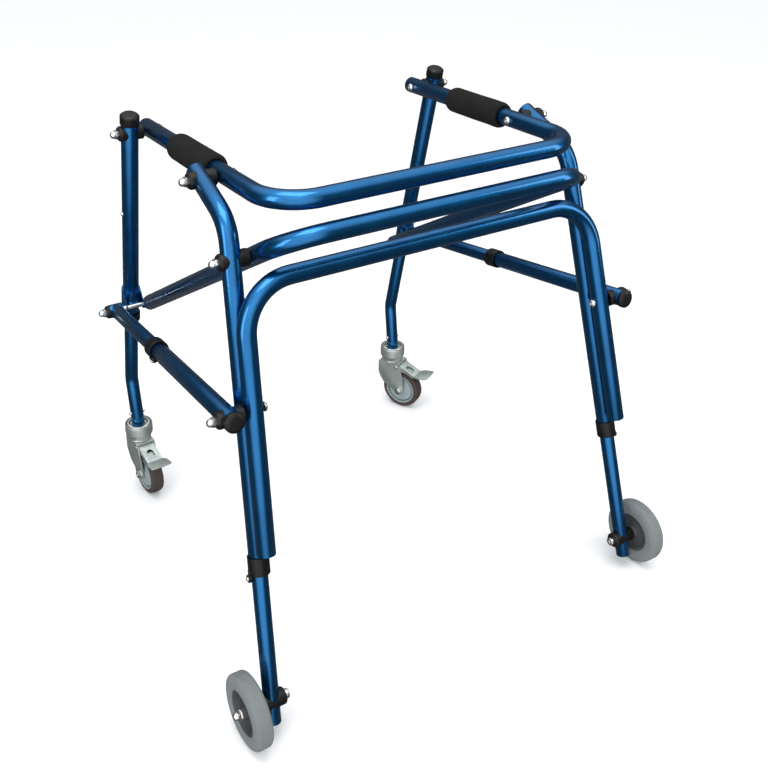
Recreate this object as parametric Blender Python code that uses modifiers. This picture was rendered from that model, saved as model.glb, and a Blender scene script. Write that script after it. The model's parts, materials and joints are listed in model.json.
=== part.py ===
"""Folding posterior walking frame for a child: bent tube rails, telescoping braces and legs, braked casters.

X runs across the frame (left is -X), Y runs from the closed rear to the open front, Z is up.
The frame stands on Z = 0 and the origin lies under the middle of its footprint.
"""

import math

import bmesh
import bpy
from mathutils import Matrix, Vector

MM = 0.001
GAP = 0.3 * MM

# Tube stock
TUBE_R = 12.7 * MM
INNER_R = 11.1 * MM
BORE_R = INNER_R + 2 * GAP
SLEEVE_R = TUBE_R + 2 * GAP
TELESCOPE_LAP = 60 * MM
TELESCOPE_BORE = 130 * MM
TUBE_SIDES = 12

# Side planes: distance from the middle plane
RAIL_X = 238 * MM
MID_RAIL_X = 241 * MM
LEG_X = 270.5 * MM
SPLAY_X = 271.3 * MM
SPLAY_Z = 700 * MM
SPLAY = 0.078

# Side view, as (Y, Z)
HANDLE_CORNER = Vector((-166, 701.6)) * MM
HANDLE_FRONT = Vector((243, 683.4)) * MM
HANDLE_PIVOT_Y = -25.5 * MM
LEG_PIVOT_Y = 225 * MM
MID_CORNER = Vector((-188, 664.8)) * MM
MID_PIVOT_Y = -118.83 * MM
OPEN_PIVOT = Vector((273.2, 378.3)) * MM
SIDE_KNEE = Vector((-105.9, 666)) * MM
SIDE_DOWN = Vector((-0.281, -0.9597)).normalized()
SIDE_FOOT_Z = 240 * MM
LOWER_CROSSBAR_Z = 601.3 * MM
LOWER_FOOT_Z = 269 * MM
BRACE_PIVOT_Z = 452.8 * MM
BRACE_X_REAR = 324 * MM
BRACE_X_FRONT = 302 * MM
BRACE_COLLAR_AT = 272 * MM
LEG_TOP = Vector((219.8, 710)) * MM
LEG_BEND = Vector((324.2, 213.6)) * MM
LEG_END = Vector((310.2, 126)) * MM
LEG_FOOT_Z = 352 * MM
KNEE_RADIUS = 55 * MM
LOWER_RADIUS = 70 * MM
CORNER_RADIUS = 60 * MM

# Rear wheel
WHEEL_R = 52 * MM
WHEEL_WIDTH = 25.6 * MM
WHEEL_X = 354.5 * MM
HUB_R = 31 * MM
AXLE_R = 4 * MM
REAR_TUBE_END_Z = 21.8 * MM

# Caster
CASTER_R = 39.5 * MM
CASTER_WIDTH = 24 * MM
CASTER_TRAIL = 27 * MM
CASTER_HEADING = {"left": math.radians(-86), "right": math.radians(-63)}
FORK_INSIDE = 29 * MM
FORK_WALL = 2.5 * MM
CROWN_Z = 99 * MM
HEAD_R = 24 * MM
BRAKE_PIVOT = Vector((18, 0, 91)) * MM
BRAKE_SHEET = 2 * MM

# Hand grip
GRIP_R = 20 * MM
GRIP_START_Y = 0 * MM
GRIP_LENGTH = 123 * MM

# Fasteners
BOLT_R = 3.2 * MM
BOLT_BORE_R = 3.6 * MM
BUTTON_R = 3.2 * MM

for old in list(bpy.data.objects):
    bpy.data.objects.remove(old, do_unlink=True)


def new_collection(name):
    collection = bpy.data.collections.new(name)
    bpy.context.scene.collection.children.link(collection)
    return collection


PARTS = new_collection("walking_frame")
CUTTERS = new_collection("cutters")


def material(name, colour, roughness, metallic):
    made = bpy.data.materials.new(name)
    made.use_nodes = True
    shader = made.node_tree.nodes["Principled BSDF"]
    shader.inputs["Base Color"].default_value = (*colour, 1)
    shader.inputs["Roughness"].default_value = roughness
    shader.inputs["Metallic"].default_value = metallic
    return made


BLUE = material("blue_anodised", (0.01, 0.11, 0.32), 0.25, 0.9)
BLACK = material("black_plastic", (0.02, 0.02, 0.02), 0.5, 0.0)
FOAM = material("grip_foam", (0.025, 0.025, 0.024), 0.95, 0.0)
ZINC = material("zinc_plate", (0.62, 0.64, 0.62), 0.35, 0.9)
STEEL = material("bright_steel", (0.75, 0.75, 0.72), 0.2, 1.0)
TYRE = material("grey_tyre", (0.30, 0.33, 0.34), 0.7, 0.0)
HUB = material("dark_hub", (0.07, 0.08, 0.09), 0.5, 0.0)
CASTER_TYRE = material("brown_tyre", (0.09, 0.065, 0.055), 0.65, 0.0)
CASTER_CENTRE = material("grey_centre", (0.42, 0.47, 0.48), 0.45, 0.0)


# ---------------------------------------------------------------- modelling helpers


def finish(obj, surface, collection=PARTS):
    """Give an object its material, smooth shading and collection."""
    for owner in list(obj.users_collection):
        owner.objects.unlink(obj)
    collection.objects.link(obj)
    obj.data.materials.clear()
    obj.data.materials.append(surface)
    obj.data.shade_smooth()
    obj.data.set_sharp_from_angle(angle=math.radians(35))
    return obj


def as_cutter(obj):
    """Move a helper solid to the cutters, out of the render."""
    for owner in list(obj.users_collection):
        owner.objects.unlink(obj)
    CUTTERS.objects.link(obj)
    obj.hide_render = True
    obj.display_type = "WIRE"
    return obj


def boolean(obj, other, operation):
    modifier = obj.modifiers.new(operation.lower(), "BOOLEAN")
    modifier.operation = operation
    modifier.object = as_cutter(other)
    return obj


def cut(obj, *others):
    for other in others:
        boolean(obj, other, "DIFFERENCE")
    return obj


def join(obj, *others):
    for other in others:
        boolean(obj, other, "UNION")
    return obj


def set_origin(obj, point):
    """Put the object's origin on a point without moving its shape."""
    obj.data.transform(Matrix.Translation(-point))
    obj.location = point
    return obj


def rounded_path(corners, radius, steps_per_turn=28):
    """The corners as a path with circular bends of one radius."""
    path = [corners[0]]
    for before, corner, after in zip(corners, corners[1:], corners[2:]):
        inward = (corner - before).normalized()
        outward = (after - corner).normalized()
        turn = inward.angle(outward)
        reach = radius * math.tan(turn / 2)
        start = corner - inward * reach
        centre_way = (outward - inward).normalized()
        centre = corner + centre_way * (radius / math.cos(turn / 2))
        axis = inward.cross(outward).normalized()
        steps = max(2, round(steps_per_turn * turn / math.tau))
        for step in range(steps + 1):
            swing = Matrix.Rotation(turn * step / steps, 3, axis)
            path.append(centre + swing @ (start - centre))
    path.append(corners[-1])
    return path


def swept_tube(name, path, radius, surface, sides=TUBE_SIDES):
    """A round bar along a path, as one closed mesh."""
    curve = bpy.data.curves.new(name, "CURVE")
    curve.dimensions = "3D"
    spline = curve.splines.new("POLY")
    spline.points.add(len(path) - 1)
    for point, place in zip(spline.points, path):
        point.co = (*place, 1)
    curve.bevel_depth = radius
    curve.bevel_resolution = (sides - 4) // 2
    curve.use_fill_caps = True
    guide = bpy.data.objects.new(name + "_guide", curve)
    CUTTERS.objects.link(guide)
    bpy.context.view_layer.update()
    mesh = bpy.data.meshes.new_from_object(guide.evaluated_get(bpy.context.evaluated_depsgraph_get()))
    weld_mesh(mesh)
    obj = bpy.data.objects.new(name, mesh)
    bpy.data.objects.remove(guide, do_unlink=True)
    return finish(obj, surface)


def weld_mesh(mesh):
    shape = bmesh.new()
    shape.from_mesh(mesh)
    bmesh.ops.remove_doubles(shape, verts=shape.verts, dist=0.00001)
    bmesh.ops.recalc_face_normals(shape, faces=shape.faces)
    shape.to_mesh(mesh)
    shape.free()


def bar(name, start, end, radius, surface, sides=TUBE_SIDES, end_radius=None):
    """A straight round bar or cone between two points."""
    shape = bmesh.new()
    length = (end - start).length
    far_radius = radius if end_radius is None else end_radius
    bmesh.ops.create_cone(
        shape, cap_ends=True, segments=sides, radius1=radius, radius2=far_radius, depth=length
    )
    turn = (end - start).to_track_quat("Z", "Y").to_matrix().to_4x4()
    bmesh.ops.transform(shape, matrix=Matrix.Translation((start + end) / 2) @ turn, verts=shape.verts)
    mesh = bpy.data.meshes.new(name)
    shape.to_mesh(mesh)
    shape.free()
    return finish(bpy.data.objects.new(name, mesh), surface)


def box(name, low, high, surface):
    shape = bmesh.new()
    bmesh.ops.create_cube(shape, size=1)
    size = Vector(high) - Vector(low)
    middle = (Vector(high) + Vector(low)) / 2
    bmesh.ops.scale(shape, vec=size, verts=shape.verts)
    bmesh.ops.translate(shape, vec=middle, verts=shape.verts)
    mesh = bpy.data.meshes.new(name)
    shape.to_mesh(mesh)
    shape.free()
    return finish(bpy.data.objects.new(name, mesh), surface)


def turned(name, profile, origin, axis, surface, sides=14, closed=False):
    """A turned shape: (radius, height) pairs that run down the outer side, spun about an axis."""
    mesh = bpy.data.meshes.new(name)
    points = [(radius, 0, height) for radius, height in profile]
    edges = [(i, i + 1) for i in range(len(points) - 1)]
    if closed:
        edges.append((len(points) - 1, 0))
    mesh.from_pydata(points, edges, [])
    obj = bpy.data.objects.new(name, mesh)
    PARTS.objects.link(obj)
    screw = obj.modifiers.new("turn", "SCREW")
    screw.steps = sides
    screw.render_steps = sides
    screw.use_merge_vertices = True
    screw.merge_threshold = 0.00001
    bpy.context.view_layer.update()
    solid = bpy.data.meshes.new_from_object(obj.evaluated_get(bpy.context.evaluated_depsgraph_get()))
    bpy.data.objects.remove(obj, do_unlink=True)
    weld_mesh(solid)
    turn = Vector(axis).to_track_quat("Z", "Y").to_matrix().to_4x4()
    solid.transform(Matrix.Translation(origin) @ turn)
    return finish(bpy.data.objects.new(name, solid), surface)


def plate(name, outline, thickness, surface, axes):
    """A flat plate: a 2D outline extruded, with its plane and middle given by a matrix."""
    curve = bpy.data.curves.new(name, "CURVE")
    curve.dimensions = "2D"
    curve.fill_mode = "BOTH"
    curve.extrude = thickness / 2
    spline = curve.splines.new("POLY")
    spline.points.add(len(outline) - 1)
    for point, place in zip(spline.points, outline):
        point.co = (place[0], place[1], 0, 1)
    spline.use_cyclic_u = True
    guide = bpy.data.objects.new(name + "_guide", curve)
    CUTTERS.objects.link(guide)
    bpy.context.view_layer.update()
    mesh = bpy.data.meshes.new_from_object(guide.evaluated_get(bpy.context.evaluated_depsgraph_get()))
    bpy.data.objects.remove(guide, do_unlink=True)
    weld_mesh(mesh)
    mesh.transform(axes)
    return finish(bpy.data.objects.new(name, mesh), surface)


def arc(centre, radius, start, end, steps=6):
    """Points on an arc in an outline, angles in degrees."""
    angles = [math.radians(start + (end - start) * i / steps) for i in range(steps + 1)]
    return [(centre[0] + radius * math.cos(a), centre[1] + radius * math.sin(a)) for a in angles]


# ---------------------------------------------------------------- frame geometry


def splayed_x(z):
    """The rear legs lean outwards as they go down."""
    return SPLAY_X + SPLAY * (SPLAY_Z - z)


def on_side(side, x, point):
    return Vector((side * x, point[0], point[1]))


def on_side_tube(side, z, behind=0.0):
    """A point on the side tube's straight run, or on the line that lies behind it."""
    across = Vector((SIDE_DOWN[1], -SIDE_DOWN[0])) * behind
    base = SIDE_KNEE + across
    y = base[0] + (z - base[1]) * SIDE_DOWN[0] / SIDE_DOWN[1]
    return Vector((side * splayed_x(z), y, z))


def along(start, end, y):
    """The point of a side-view line at a given Y."""
    share = (y - start[0]) / (end[0] - start[0])
    return start + (end - start) * share


LOWER_OFFSET = 2 * TUBE_R + 0.4 * MM
HANDLE_PIVOT = along(HANDLE_CORNER, HANDLE_FRONT, HANDLE_PIVOT_Y)
LEG_PIVOT = along(HANDLE_CORNER, HANDLE_FRONT, LEG_PIVOT_Y)
MID_PIVOT = along(MID_CORNER, OPEN_PIVOT, MID_PIVOT_Y)
BRACE_PIVOT = Vector(on_side_tube(1, BRACE_PIVOT_Z, LOWER_OFFSET)[1:])
LEG_WAY = Vector((0, *(LEG_BEND - LEG_TOP))).normalized()


def outward_bore(side, x, point, radius=BOLT_BORE_R):
    """A cutter for a bolt hole that runs straight across one tube."""
    centre = on_side(side, x, point)
    reach = Vector((20 * MM, 0, 0))
    return bar("bolt_hole", centre - reach, centre + reach, radius, STEEL, sides=12)


def end_bore(end, way, depth, radius=BORE_R):
    """A cutter that opens a tube's end: way points into the tube."""
    return bar("end_bore", end - way * 10 * MM, end + way * depth, radius, STEEL)


def u_rail(name, x_rear, corner, x_front, front, radius):
    """A rail bent twice: a crossbar at the rear and an arm down each side."""
    corners = [
        on_side(-1, x_front, front),
        on_side(-1, x_rear, corner),
        on_side(1, x_rear, corner),
        on_side(1, x_front, front),
    ]
    return swept_tube(name, rounded_path(corners, radius), TUBE_R, BLUE)


def open_ends(obj, x_front, front, x_rear, corner, depth):
    for side in (-1, 1):
        end = on_side(side, x_front, front)
        way = (on_side(side, x_rear, corner) - end).normalized()
        cut(obj, end_bore(end, way, depth))


def handle_rail():
    rail = u_rail("handle_rail", RAIL_X, HANDLE_CORNER, RAIL_X, HANDLE_FRONT, CORNER_RADIUS)
    for side in (-1, 1):
        cut(rail, outward_bore(side, RAIL_X, HANDLE_PIVOT), outward_bore(side, RAIL_X, LEG_PIVOT))
    open_ends(rail, RAIL_X, HANDLE_FRONT, RAIL_X, HANDLE_CORNER, 8 * MM)
    set_origin(rail, on_side(0, 0, HANDLE_PIVOT))


def mid_rail():
    way = (OPEN_PIVOT - MID_CORNER).normalized()
    front = OPEN_PIVOT + way * 9 * MM
    rail = u_rail("mid_rail", MID_RAIL_X, MID_CORNER, MID_RAIL_X, front, CORNER_RADIUS)
    for side in (-1, 1):
        cut(rail, outward_bore(side, MID_RAIL_X, MID_PIVOT))
    open_ends(rail, MID_RAIL_X, front, MID_RAIL_X, MID_CORNER, 25 * MM)
    set_origin(rail, on_side(0, 0, MID_PIVOT))


def lower_frame():
    """The lower bent tube, whose legs lie against the backs of the side tubes."""
    corners = [
        on_side_tube(-1, LOWER_FOOT_Z, LOWER_OFFSET),
        on_side_tube(-1, LOWER_CROSSBAR_Z, LOWER_OFFSET),
        on_side_tube(1, LOWER_CROSSBAR_Z, LOWER_OFFSET),
        on_side_tube(1, LOWER_FOOT_Z, LOWER_OFFSET),
    ]
    tube = swept_tube("lower_frame", rounded_path(corners, LOWER_RADIUS), TUBE_R, BLUE)
    for side, foot, top in ((-1, corners[0], corners[1]), (1, corners[3], corners[2])):
        cut(tube, outward_bore(side, splayed_x(BRACE_PIVOT_Z), BRACE_PIVOT))
        cut(tube, end_bore(foot, (top - foot).normalized(), 30 * MM))


def side_tube(side, tag):
    """The main upright: forward-leaning top, one bend, then a straight raked leg."""
    foot = on_side_tube(side, SIDE_FOOT_Z)
    knee = on_side_tube(side, SIDE_KNEE[1])
    pivot = on_side(side, SPLAY_X, HANDLE_PIVOT)
    top = pivot + (pivot - knee).normalized() * 17 * MM
    path = rounded_path([top, knee, foot], KNEE_RADIUS)
    tube = swept_tube(f"side_tube_{tag}", path, TUBE_R, BLUE)
    cut(tube, outward_bore(side, SPLAY_X, HANDLE_PIVOT))
    cut(tube, outward_bore(side, splayed_x(MID_PIVOT[1]), MID_PIVOT))
    cut(tube, end_bore(foot, (knee - foot).normalized(), TELESCOPE_BORE))


# ---------------------------------------------------------------- rear legs and wheels


def tread_radius(radius, sides):
    """The corner radius of a faceted tread whose flats, not its corners, touch the floor."""
    return radius / math.cos(math.pi / sides)


def snap_button(name, centre, way, surface_r, stem):
    """A sprung button: a stem with a domed head that stands out of its boss."""
    top = surface_r + 2.6 * MM
    profile = [
        (0, top),
        (BUTTON_R * 0.6, top - 0.3 * MM),
        (BUTTON_R, top - 1.3 * MM),
        (BUTTON_R, top - 2.6 * MM - stem),
        (0, top - 2.6 * MM - stem),
    ]
    button = turned(name, profile, centre, way, STEEL, sides=12)
    set_origin(button, centre + Vector(way).normalized() * surface_r)


def collar(name, end, way, height, outer_r, boss_way=None, boss_drop=0.0):
    """A plastic collar over an outer tube's end, with a close bore for the inner tube."""
    skirt = height * 0.5
    profile = [
        (outer_r - 1 * MM, skirt),
        (outer_r, skirt - 1 * MM),
        (outer_r, skirt - height + 1 * MM),
        (outer_r - 1 * MM, skirt - height),
        (BORE_R, skirt - height),
        (BORE_R, -1 * MM),
        (SLEEVE_R, -1 * MM),
        (SLEEVE_R, skirt),
    ]
    ring = turned(name, profile, end, way, BLACK, closed=True)
    if boss_way is None:
        return ring
    heart = end - way * boss_drop
    base_r = TUBE_R + 0.7 * MM if boss_drop < 0 else INNER_R + 0.7 * MM
    back = way if boss_drop > 0 else -way
    boss = bar("boss", heart + boss_way * base_r, heart + boss_way * 17 * MM, 5.5 * MM, BLACK)
    middle = heart + boss_way * (base_r + 2.1 * MM)
    lug = bar("lug", middle, middle + back * 12 * MM, 2 * MM, BLACK)
    join(ring, boss, lug)
    sides = 12
    hole = bar("button_hole", heart + boss_way * 11 * MM, heart + boss_way * 20 * MM, 3.6 * MM, BLACK, sides)
    return cut(ring, hole)


def rear_extension(side, tag):
    foot = on_side_tube(side, SIDE_FOOT_Z)
    up = (on_side_tube(side, SIDE_KNEE[1]) - foot).normalized()
    end = on_side_tube(side, REAR_TUBE_END_Z)
    tube = bar(f"rear_extension_{tag}", end, foot + up * TELESCOPE_LAP, INNER_R, BLUE)
    axle = on_side_tube(side, WHEEL_R)
    reach = Vector((20 * MM, 0, 0))
    cut(tube, bar("axle_hole", axle - reach, axle + reach, 6.8 * MM, BLACK))
    cut(tube, end_bore(end, up, 12 * MM, INNER_R - 1.5 * MM))
    set_origin(tube, foot)


def rear_collar(side, tag):
    foot = on_side_tube(side, SIDE_FOOT_Z)
    up = (on_side_tube(side, SIDE_KNEE[1]) - foot).normalized()
    way = side_way(side, up)
    collar(f"rear_collar_{tag}", foot, up, 25 * MM, 14.6 * MM, way, 16 * MM)
    snap_button(f"rear_button_{tag}", foot - up * 16 * MM, way, 17 * MM, 2.6 * MM)


def side_way(side, up):
    """The outward direction square to a leg."""
    out = Vector((side, 0, 0))
    return (out - up * out.dot(up)).normalized()


def rear_wheel(side, tag):
    leg = on_side_tube(side, WHEEL_R)
    centre = Vector((side * WHEEL_X, leg.y, WHEEL_R))
    out = Vector((side, 0, 0))
    half = WHEEL_WIDTH / 2
    sides = 30
    tread = tread_radius(WHEEL_R, sides)
    tyre_profile = [
        (HUB_R + GAP, half - 2 * MM),
        (HUB_R + 4 * MM, half - 0.5 * MM),
        (WHEEL_R - 8 * MM, half),
        (WHEEL_R - 2 * MM, half - 4 * MM),
        (tread, half - 8.5 * MM),
        (tread, 8.5 * MM - half),
        (WHEEL_R - 2 * MM, 4 * MM - half),
        (WHEEL_R - 8 * MM, -half),
        (HUB_R + 4 * MM, 0.5 * MM - half),
        (HUB_R + GAP, 2 * MM - half),
    ]
    tyre = turned(f"rear_tyre_{tag}", tyre_profile, centre, out, TYRE, sides, closed=True)
    set_origin(tyre, centre)
    hub_profile = [
        (AXLE_R + GAP, half - 1 * MM),
        (9 * MM, half - 1 * MM),
        (10 * MM, half - 5.5 * MM),
        (25 * MM, half - 7 * MM),
        (27.5 * MM, half - 2.5 * MM),
        (HUB_R, half - 2.5 * MM),
        (HUB_R, 2.5 * MM - half),
        (27.5 * MM, 2.5 * MM - half),
        (25 * MM, 7 * MM - half),
        (10 * MM, 5.5 * MM - half),
        (9 * MM, 1 * MM - half),
        (AXLE_R + GAP, 1 * MM - half),
    ]
    hub = turned(f"rear_hub_{tag}", hub_profile, centre, out, HUB, sides=20, closed=True)
    set_origin(hub, centre)
    rear_axle(side, tag, leg, centre, half)


def rear_axle(side, tag, leg, centre, half):
    """Axle bolt with a domed nut outside, in a flanged bushing that crosses the leg tube."""
    out = Vector((side, 0, 0))
    base = leg - out * 20 * MM
    outer_end = (centre.x - base.x) * side + half
    nut = outer_end - 1 * MM + GAP
    axle_profile = [
        (0, nut + 12 * MM),
        (3.5 * MM, nut + 11 * MM),
        (5.5 * MM, nut + 8 * MM),
        (7 * MM, nut + 6.5 * MM),
        (7 * MM, nut + 1.6 * MM),
        (9 * MM, nut + 1.6 * MM),
        (9 * MM, nut),
        (AXLE_R, nut),
        (AXLE_R, 0),
        (6.5 * MM, 0),
        (6.5 * MM, -4.5 * MM),
        (5.5 * MM, -5.5 * MM),
        (3 * MM, -5.5 * MM),
        (3 * MM, -3 * MM),
        (0, -3 * MM),
    ]
    axle = turned(f"rear_axle_{tag}", axle_profile, base, out, STEEL, sides=12)
    set_origin(axle, centre)
    wheel_face = outer_end - 2 * half + 1 * MM
    sleeve_r = 6.5 * MM
    bore_r = AXLE_R + GAP
    profile = [
        (0, wheel_face - 0.6 * MM),
        (10 * MM, wheel_face - 0.6 * MM),
        (12 * MM, wheel_face - 2.6 * MM),
        (12 * MM, GAP + 1.5 * MM),
        (10.5 * MM, GAP),
        (0, GAP),
    ]
    bushing = turned(f"rear_bushing_{tag}", profile, base, out, BLACK)
    up = (on_side_tube(side, SIDE_FOOT_Z) - leg).normalized()
    room = bar("room", leg - up * 30 * MM, leg + up * 30 * MM, BORE_R, BLACK)
    cut(bushing, room)
    reach = out * 14 * MM
    sleeve = bar("sleeve", leg - reach, leg + reach, sleeve_r, BLACK)
    join(bushing, sleeve)
    length = out * 40 * MM
    cut(bushing, bar("sleeve_bore", leg - length, leg + length, bore_r, BLACK, sides=12))


# ---------------------------------------------------------------- front legs and casters


def caster_leg(side, tag):
    top = on_side(side, LEG_X, LEG_TOP)
    foot = top + LEG_WAY * ((LEG_TOP[1] - LEG_FOOT_Z) / -LEG_WAY.z)
    leg = bar(f"caster_leg_{tag}", foot, top, TUBE_R, BLUE)
    cut(leg, outward_bore(side, LEG_X, LEG_PIVOT), end_bore(foot, -LEG_WAY, TELESCOPE_BORE))
    pocket = leg_button_place(side)
    out = Vector((side, 0, 0))
    cut(leg, bar("pocket", pocket + out * 7 * MM, pocket + out * 16 * MM, 3.6 * MM, STEEL, sides=12))
    set_origin(leg, on_side(side, LEG_X, LEG_PIVOT))
    snap_button(f"leg_button_{tag}", pocket, out, TUBE_R, 2.6 * MM)
    profile = [
        (0, 4 * MM),
        (11 * MM, 4 * MM),
        (14.2 * MM, 1.5 * MM),
        (14.2 * MM, -12 * MM),
        (SLEEVE_R, -12 * MM),
        (SLEEVE_R, GAP),
        (0, GAP),
    ]
    turned(f"leg_cap_{tag}", profile, top, -LEG_WAY, BLACK)
    collar(f"leg_collar_{tag}", foot, -LEG_WAY, 15 * MM, 14.8 * MM)
    leg_bracket(side, tag, foot)
    leg_extension(side, tag, foot)


def leg_button_place(side):
    top = on_side(side, LEG_X, LEG_TOP)
    return top + LEG_WAY * 165 * MM


def leg_bracket(side, tag, foot):
    """A strap round the leg whose ears carry the front pivot's spacer rod behind the leg."""
    middle = foot - LEG_WAY * 41 * MM
    half = 15 * MM
    band_r = SLEEVE_R + 2 * MM
    profile = [(SLEEVE_R, half), (band_r, half), (band_r, -half), (SLEEVE_R, -half)]
    band = turned(f"leg_bracket_{tag}", profile, middle, -LEG_WAY, BLUE, closed=True)
    pivot = OPEN_PIVOT
    heart = Vector(middle[1:])
    down = Vector(LEG_WAY[1:])
    high = heart - down * half
    low = heart + down * 6 * MM
    ear = [tuple(high), tuple(low)] + arc(pivot, 7.5 * MM, -60, -190, 5)
    for place in (-1, 1):
        x = side * LEG_X + place * (band_r - 1 * MM)
        axes = Matrix(((0, 0, 1, x), (1, 0, 0, 0), (0, 1, 0, 0), (0, 0, 0, 1)))
        join(band, plate("ear", ear, 2 * MM, BLUE, axes))
    rod_in = on_side(side, MID_RAIL_X + TUBE_R + 0.6 * MM, pivot)
    rod_out = on_side(side, BRACE_X_FRONT - INNER_R - 0.6 * MM, pivot)
    join(band, bar("spacer_rod", rod_in, rod_out, 4.2 * MM, STEEL, sides=12))
    cut(band, bar("leg_room", foot - LEG_WAY * 100 * MM, foot, SLEEVE_R, BLUE, sides=14))


def leg_extension(side, tag, foot):
    inside = foot - LEG_WAY * TELESCOPE_LAP
    bend = on_side(side, LEG_X, LEG_BEND)
    end = on_side(side, LEG_X, LEG_END)
    path = rounded_path([inside, bend, end], 45 * MM, steps_per_turn=40)
    tube = swept_tube(f"leg_extension_{tag}", path, INNER_R, BLUE)
    place = on_side(side, LEG_X, along(LEG_END, LEG_BEND, LEG_END[0] + 3.5 * MM))
    out = Vector((side, 0, 0))
    join(tube, bar("cross_bolt", place - out * 14 * MM, place + out * 14 * MM, 2.6 * MM, STEEL, 8))
    set_origin(tube, foot)


def caster(side, tag):
    """A braked swivel caster, built about its own swivel axis: U is the trailing direction."""
    swivel = Vector((side * LEG_X, LEG_END[0], 0))
    hub_empty = bpy.data.objects.new(f"swivel_{tag}", None)
    PARTS.objects.link(hub_empty)
    hub_empty.location = swivel
    hub_empty.rotation_euler = (0, 0, CASTER_HEADING[tag])
    bpy.context.view_layer.update()
    caster_head(tag, hub_empty)
    caster_fork(tag, hub_empty)
    caster_wheel(tag, hub_empty)
    caster_brake(tag, hub_empty)


def under(parent, obj):
    obj.parent = parent
    return obj


def caster_head(tag, parent):
    """The ball race: a pressed cup under the leg tube."""
    top = 130 * MM
    base = CROWN_Z + 3.5 * MM
    profile = [
        (0, top - 6 * MM),
        (INNER_R + 2 * MM, top - 6 * MM),
        (INNER_R + 2 * MM, top - 1 * MM),
        (16.5 * MM, top - 2 * MM),
        (16.5 * MM, top - 9 * MM),
        (HEAD_R - 4 * MM, top - 9 * MM),
        (HEAD_R - 4 * MM, top - 1 * MM),
        (HEAD_R - 1 * MM, top - 1 * MM),
        (HEAD_R, top - 3 * MM),
        (HEAD_R, base + 7 * MM),
        (HEAD_R - 3 * MM, base + 3 * MM),
        (HEAD_R - 3 * MM, base),
        (0, base),
    ]
    under(parent, turned(f"caster_head_{tag}", profile, Vector((0, 0, 0)), (0, 0, 1), ZINC, sides=16))


def fork_outline():
    """Cheek of the fork: wide under the crown, narrow at the axle."""
    axle = (CASTER_TRAIL, CASTER_R)
    front_top = (-22 * MM, CROWN_Z)
    front_low = (-22 * MM, CROWN_Z - 14 * MM)
    rear_low = (32 * MM, CROWN_Z - 24 * MM)
    rear_top = (24 * MM, CROWN_Z)
    return [front_top, front_low, *arc(axle, 9 * MM, 215, 370, 8), rear_low, rear_top]


def caster_fork(tag, parent):
    half = FORK_INSIDE / 2
    upright = Matrix(((1, 0, 0, 0), (0, 0, -1, 0), (0, 1, 0, 0), (0, 0, 0, 1)))
    fork = plate(
        f"caster_fork_{tag}", fork_outline(), FORK_WALL, ZINC,
        Matrix.Translation((0, half + FORK_WALL / 2, 0)) @ upright,
    )
    other = plate(
        "cheek", fork_outline(), FORK_WALL, ZINC, Matrix.Translation((0, -half - FORK_WALL / 2, 0)) @ upright
    )
    wide = half + FORK_WALL - 0.2 * MM
    crown = box("crown", (-21.5 * MM, -wide, CROWN_Z - 3 * MM), (23.5 * MM, wide, CROWN_Z - 0.2 * MM), ZINC)
    race = bar("race", Vector((0, 0, CROWN_Z - 2 * MM)), Vector((0, 0, CROWN_Z + 3 * MM)), 17 * MM, ZINC, 12)
    axle_reach = half + FORK_WALL
    pin = turned(
        "axle",
        [
            (0, axle_reach + 6 * MM),
            (5 * MM, axle_reach + 6 * MM),
            (6.5 * MM, axle_reach + 4.5 * MM),
            (6.5 * MM, axle_reach - 0.5 * MM),
            (AXLE_R, axle_reach - 0.5 * MM),
            (AXLE_R, 0.5 * MM - axle_reach),
            (6.5 * MM, 0.5 * MM - axle_reach),
            (6.5 * MM, -axle_reach - 4.5 * MM),
            (5 * MM, -axle_reach - 6 * MM),
            (0, -axle_reach - 6 * MM),
        ],
        Vector((CASTER_TRAIL, 0, CASTER_R)), (0, 1, 0), STEEL, sides=12,
    )
    rivet = turned(
        "brake_rivet",
        [
            (0, axle_reach + 1.6 * MM),
            (3 * MM, axle_reach + 1.6 * MM),
            (3.6 * MM, axle_reach - 0.5 * MM),
            (2.2 * MM, axle_reach - 0.5 * MM),
            (2.2 * MM, 0.5 * MM - axle_reach),
            (3.6 * MM, 0.5 * MM - axle_reach),
            (3 * MM, -axle_reach - 1.6 * MM),
            (0, -axle_reach - 1.6 * MM),
        ],
        BRAKE_PIVOT, (0, 1, 0), STEEL, sides=8,
    )
    helpers = [other, crown, race, pin, rivet]
    for helper in helpers:
        under(parent, helper)
    join(fork, *helpers)
    under(parent, fork)


def caster_wheel(tag, parent):
    centre = Vector((CASTER_TRAIL, 0, CASTER_R))
    half = CASTER_WIDTH / 2
    rim = CASTER_R - 9 * MM
    sides = 26
    tread = tread_radius(CASTER_R, sides)
    tyre_profile = [
        (rim + GAP, half - 1 * MM),
        (CASTER_R - 4 * MM, half),
        (CASTER_R - 1 * MM, half - 2.5 * MM),
        (tread, half - 5 * MM),
        (tread, 5 * MM - half),
        (CASTER_R - 1 * MM, 2.5 * MM - half),
        (CASTER_R - 4 * MM, -half),
        (rim + GAP, 1 * MM - half),
    ]
    tyre = turned(f"caster_tyre_{tag}", tyre_profile, Vector((0, 0, 0)), (0, 1, 0), CASTER_TYRE, sides, True)
    tyre.location = centre
    under(parent, tyre)
    profile = [
        (AXLE_R + GAP, half),
        (8 * MM, half),
        (9.5 * MM, half - 2.5 * MM),
        (rim - 3 * MM, half - 3.5 * MM),
        (rim, half - 1.5 * MM),
        (rim, 1.5 * MM - half),
        (rim - 3 * MM, 3.5 * MM - half),
        (9.5 * MM, 2.5 * MM - half),
        (8 * MM, -half),
        (AXLE_R + GAP, -half),
    ]
    wheel = turned(f"caster_wheel_{tag}", profile, Vector((0, 0, 0)), (0, 1, 0), CASTER_CENTRE, 16, True)
    wheel.location = centre
    under(parent, wheel)


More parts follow.
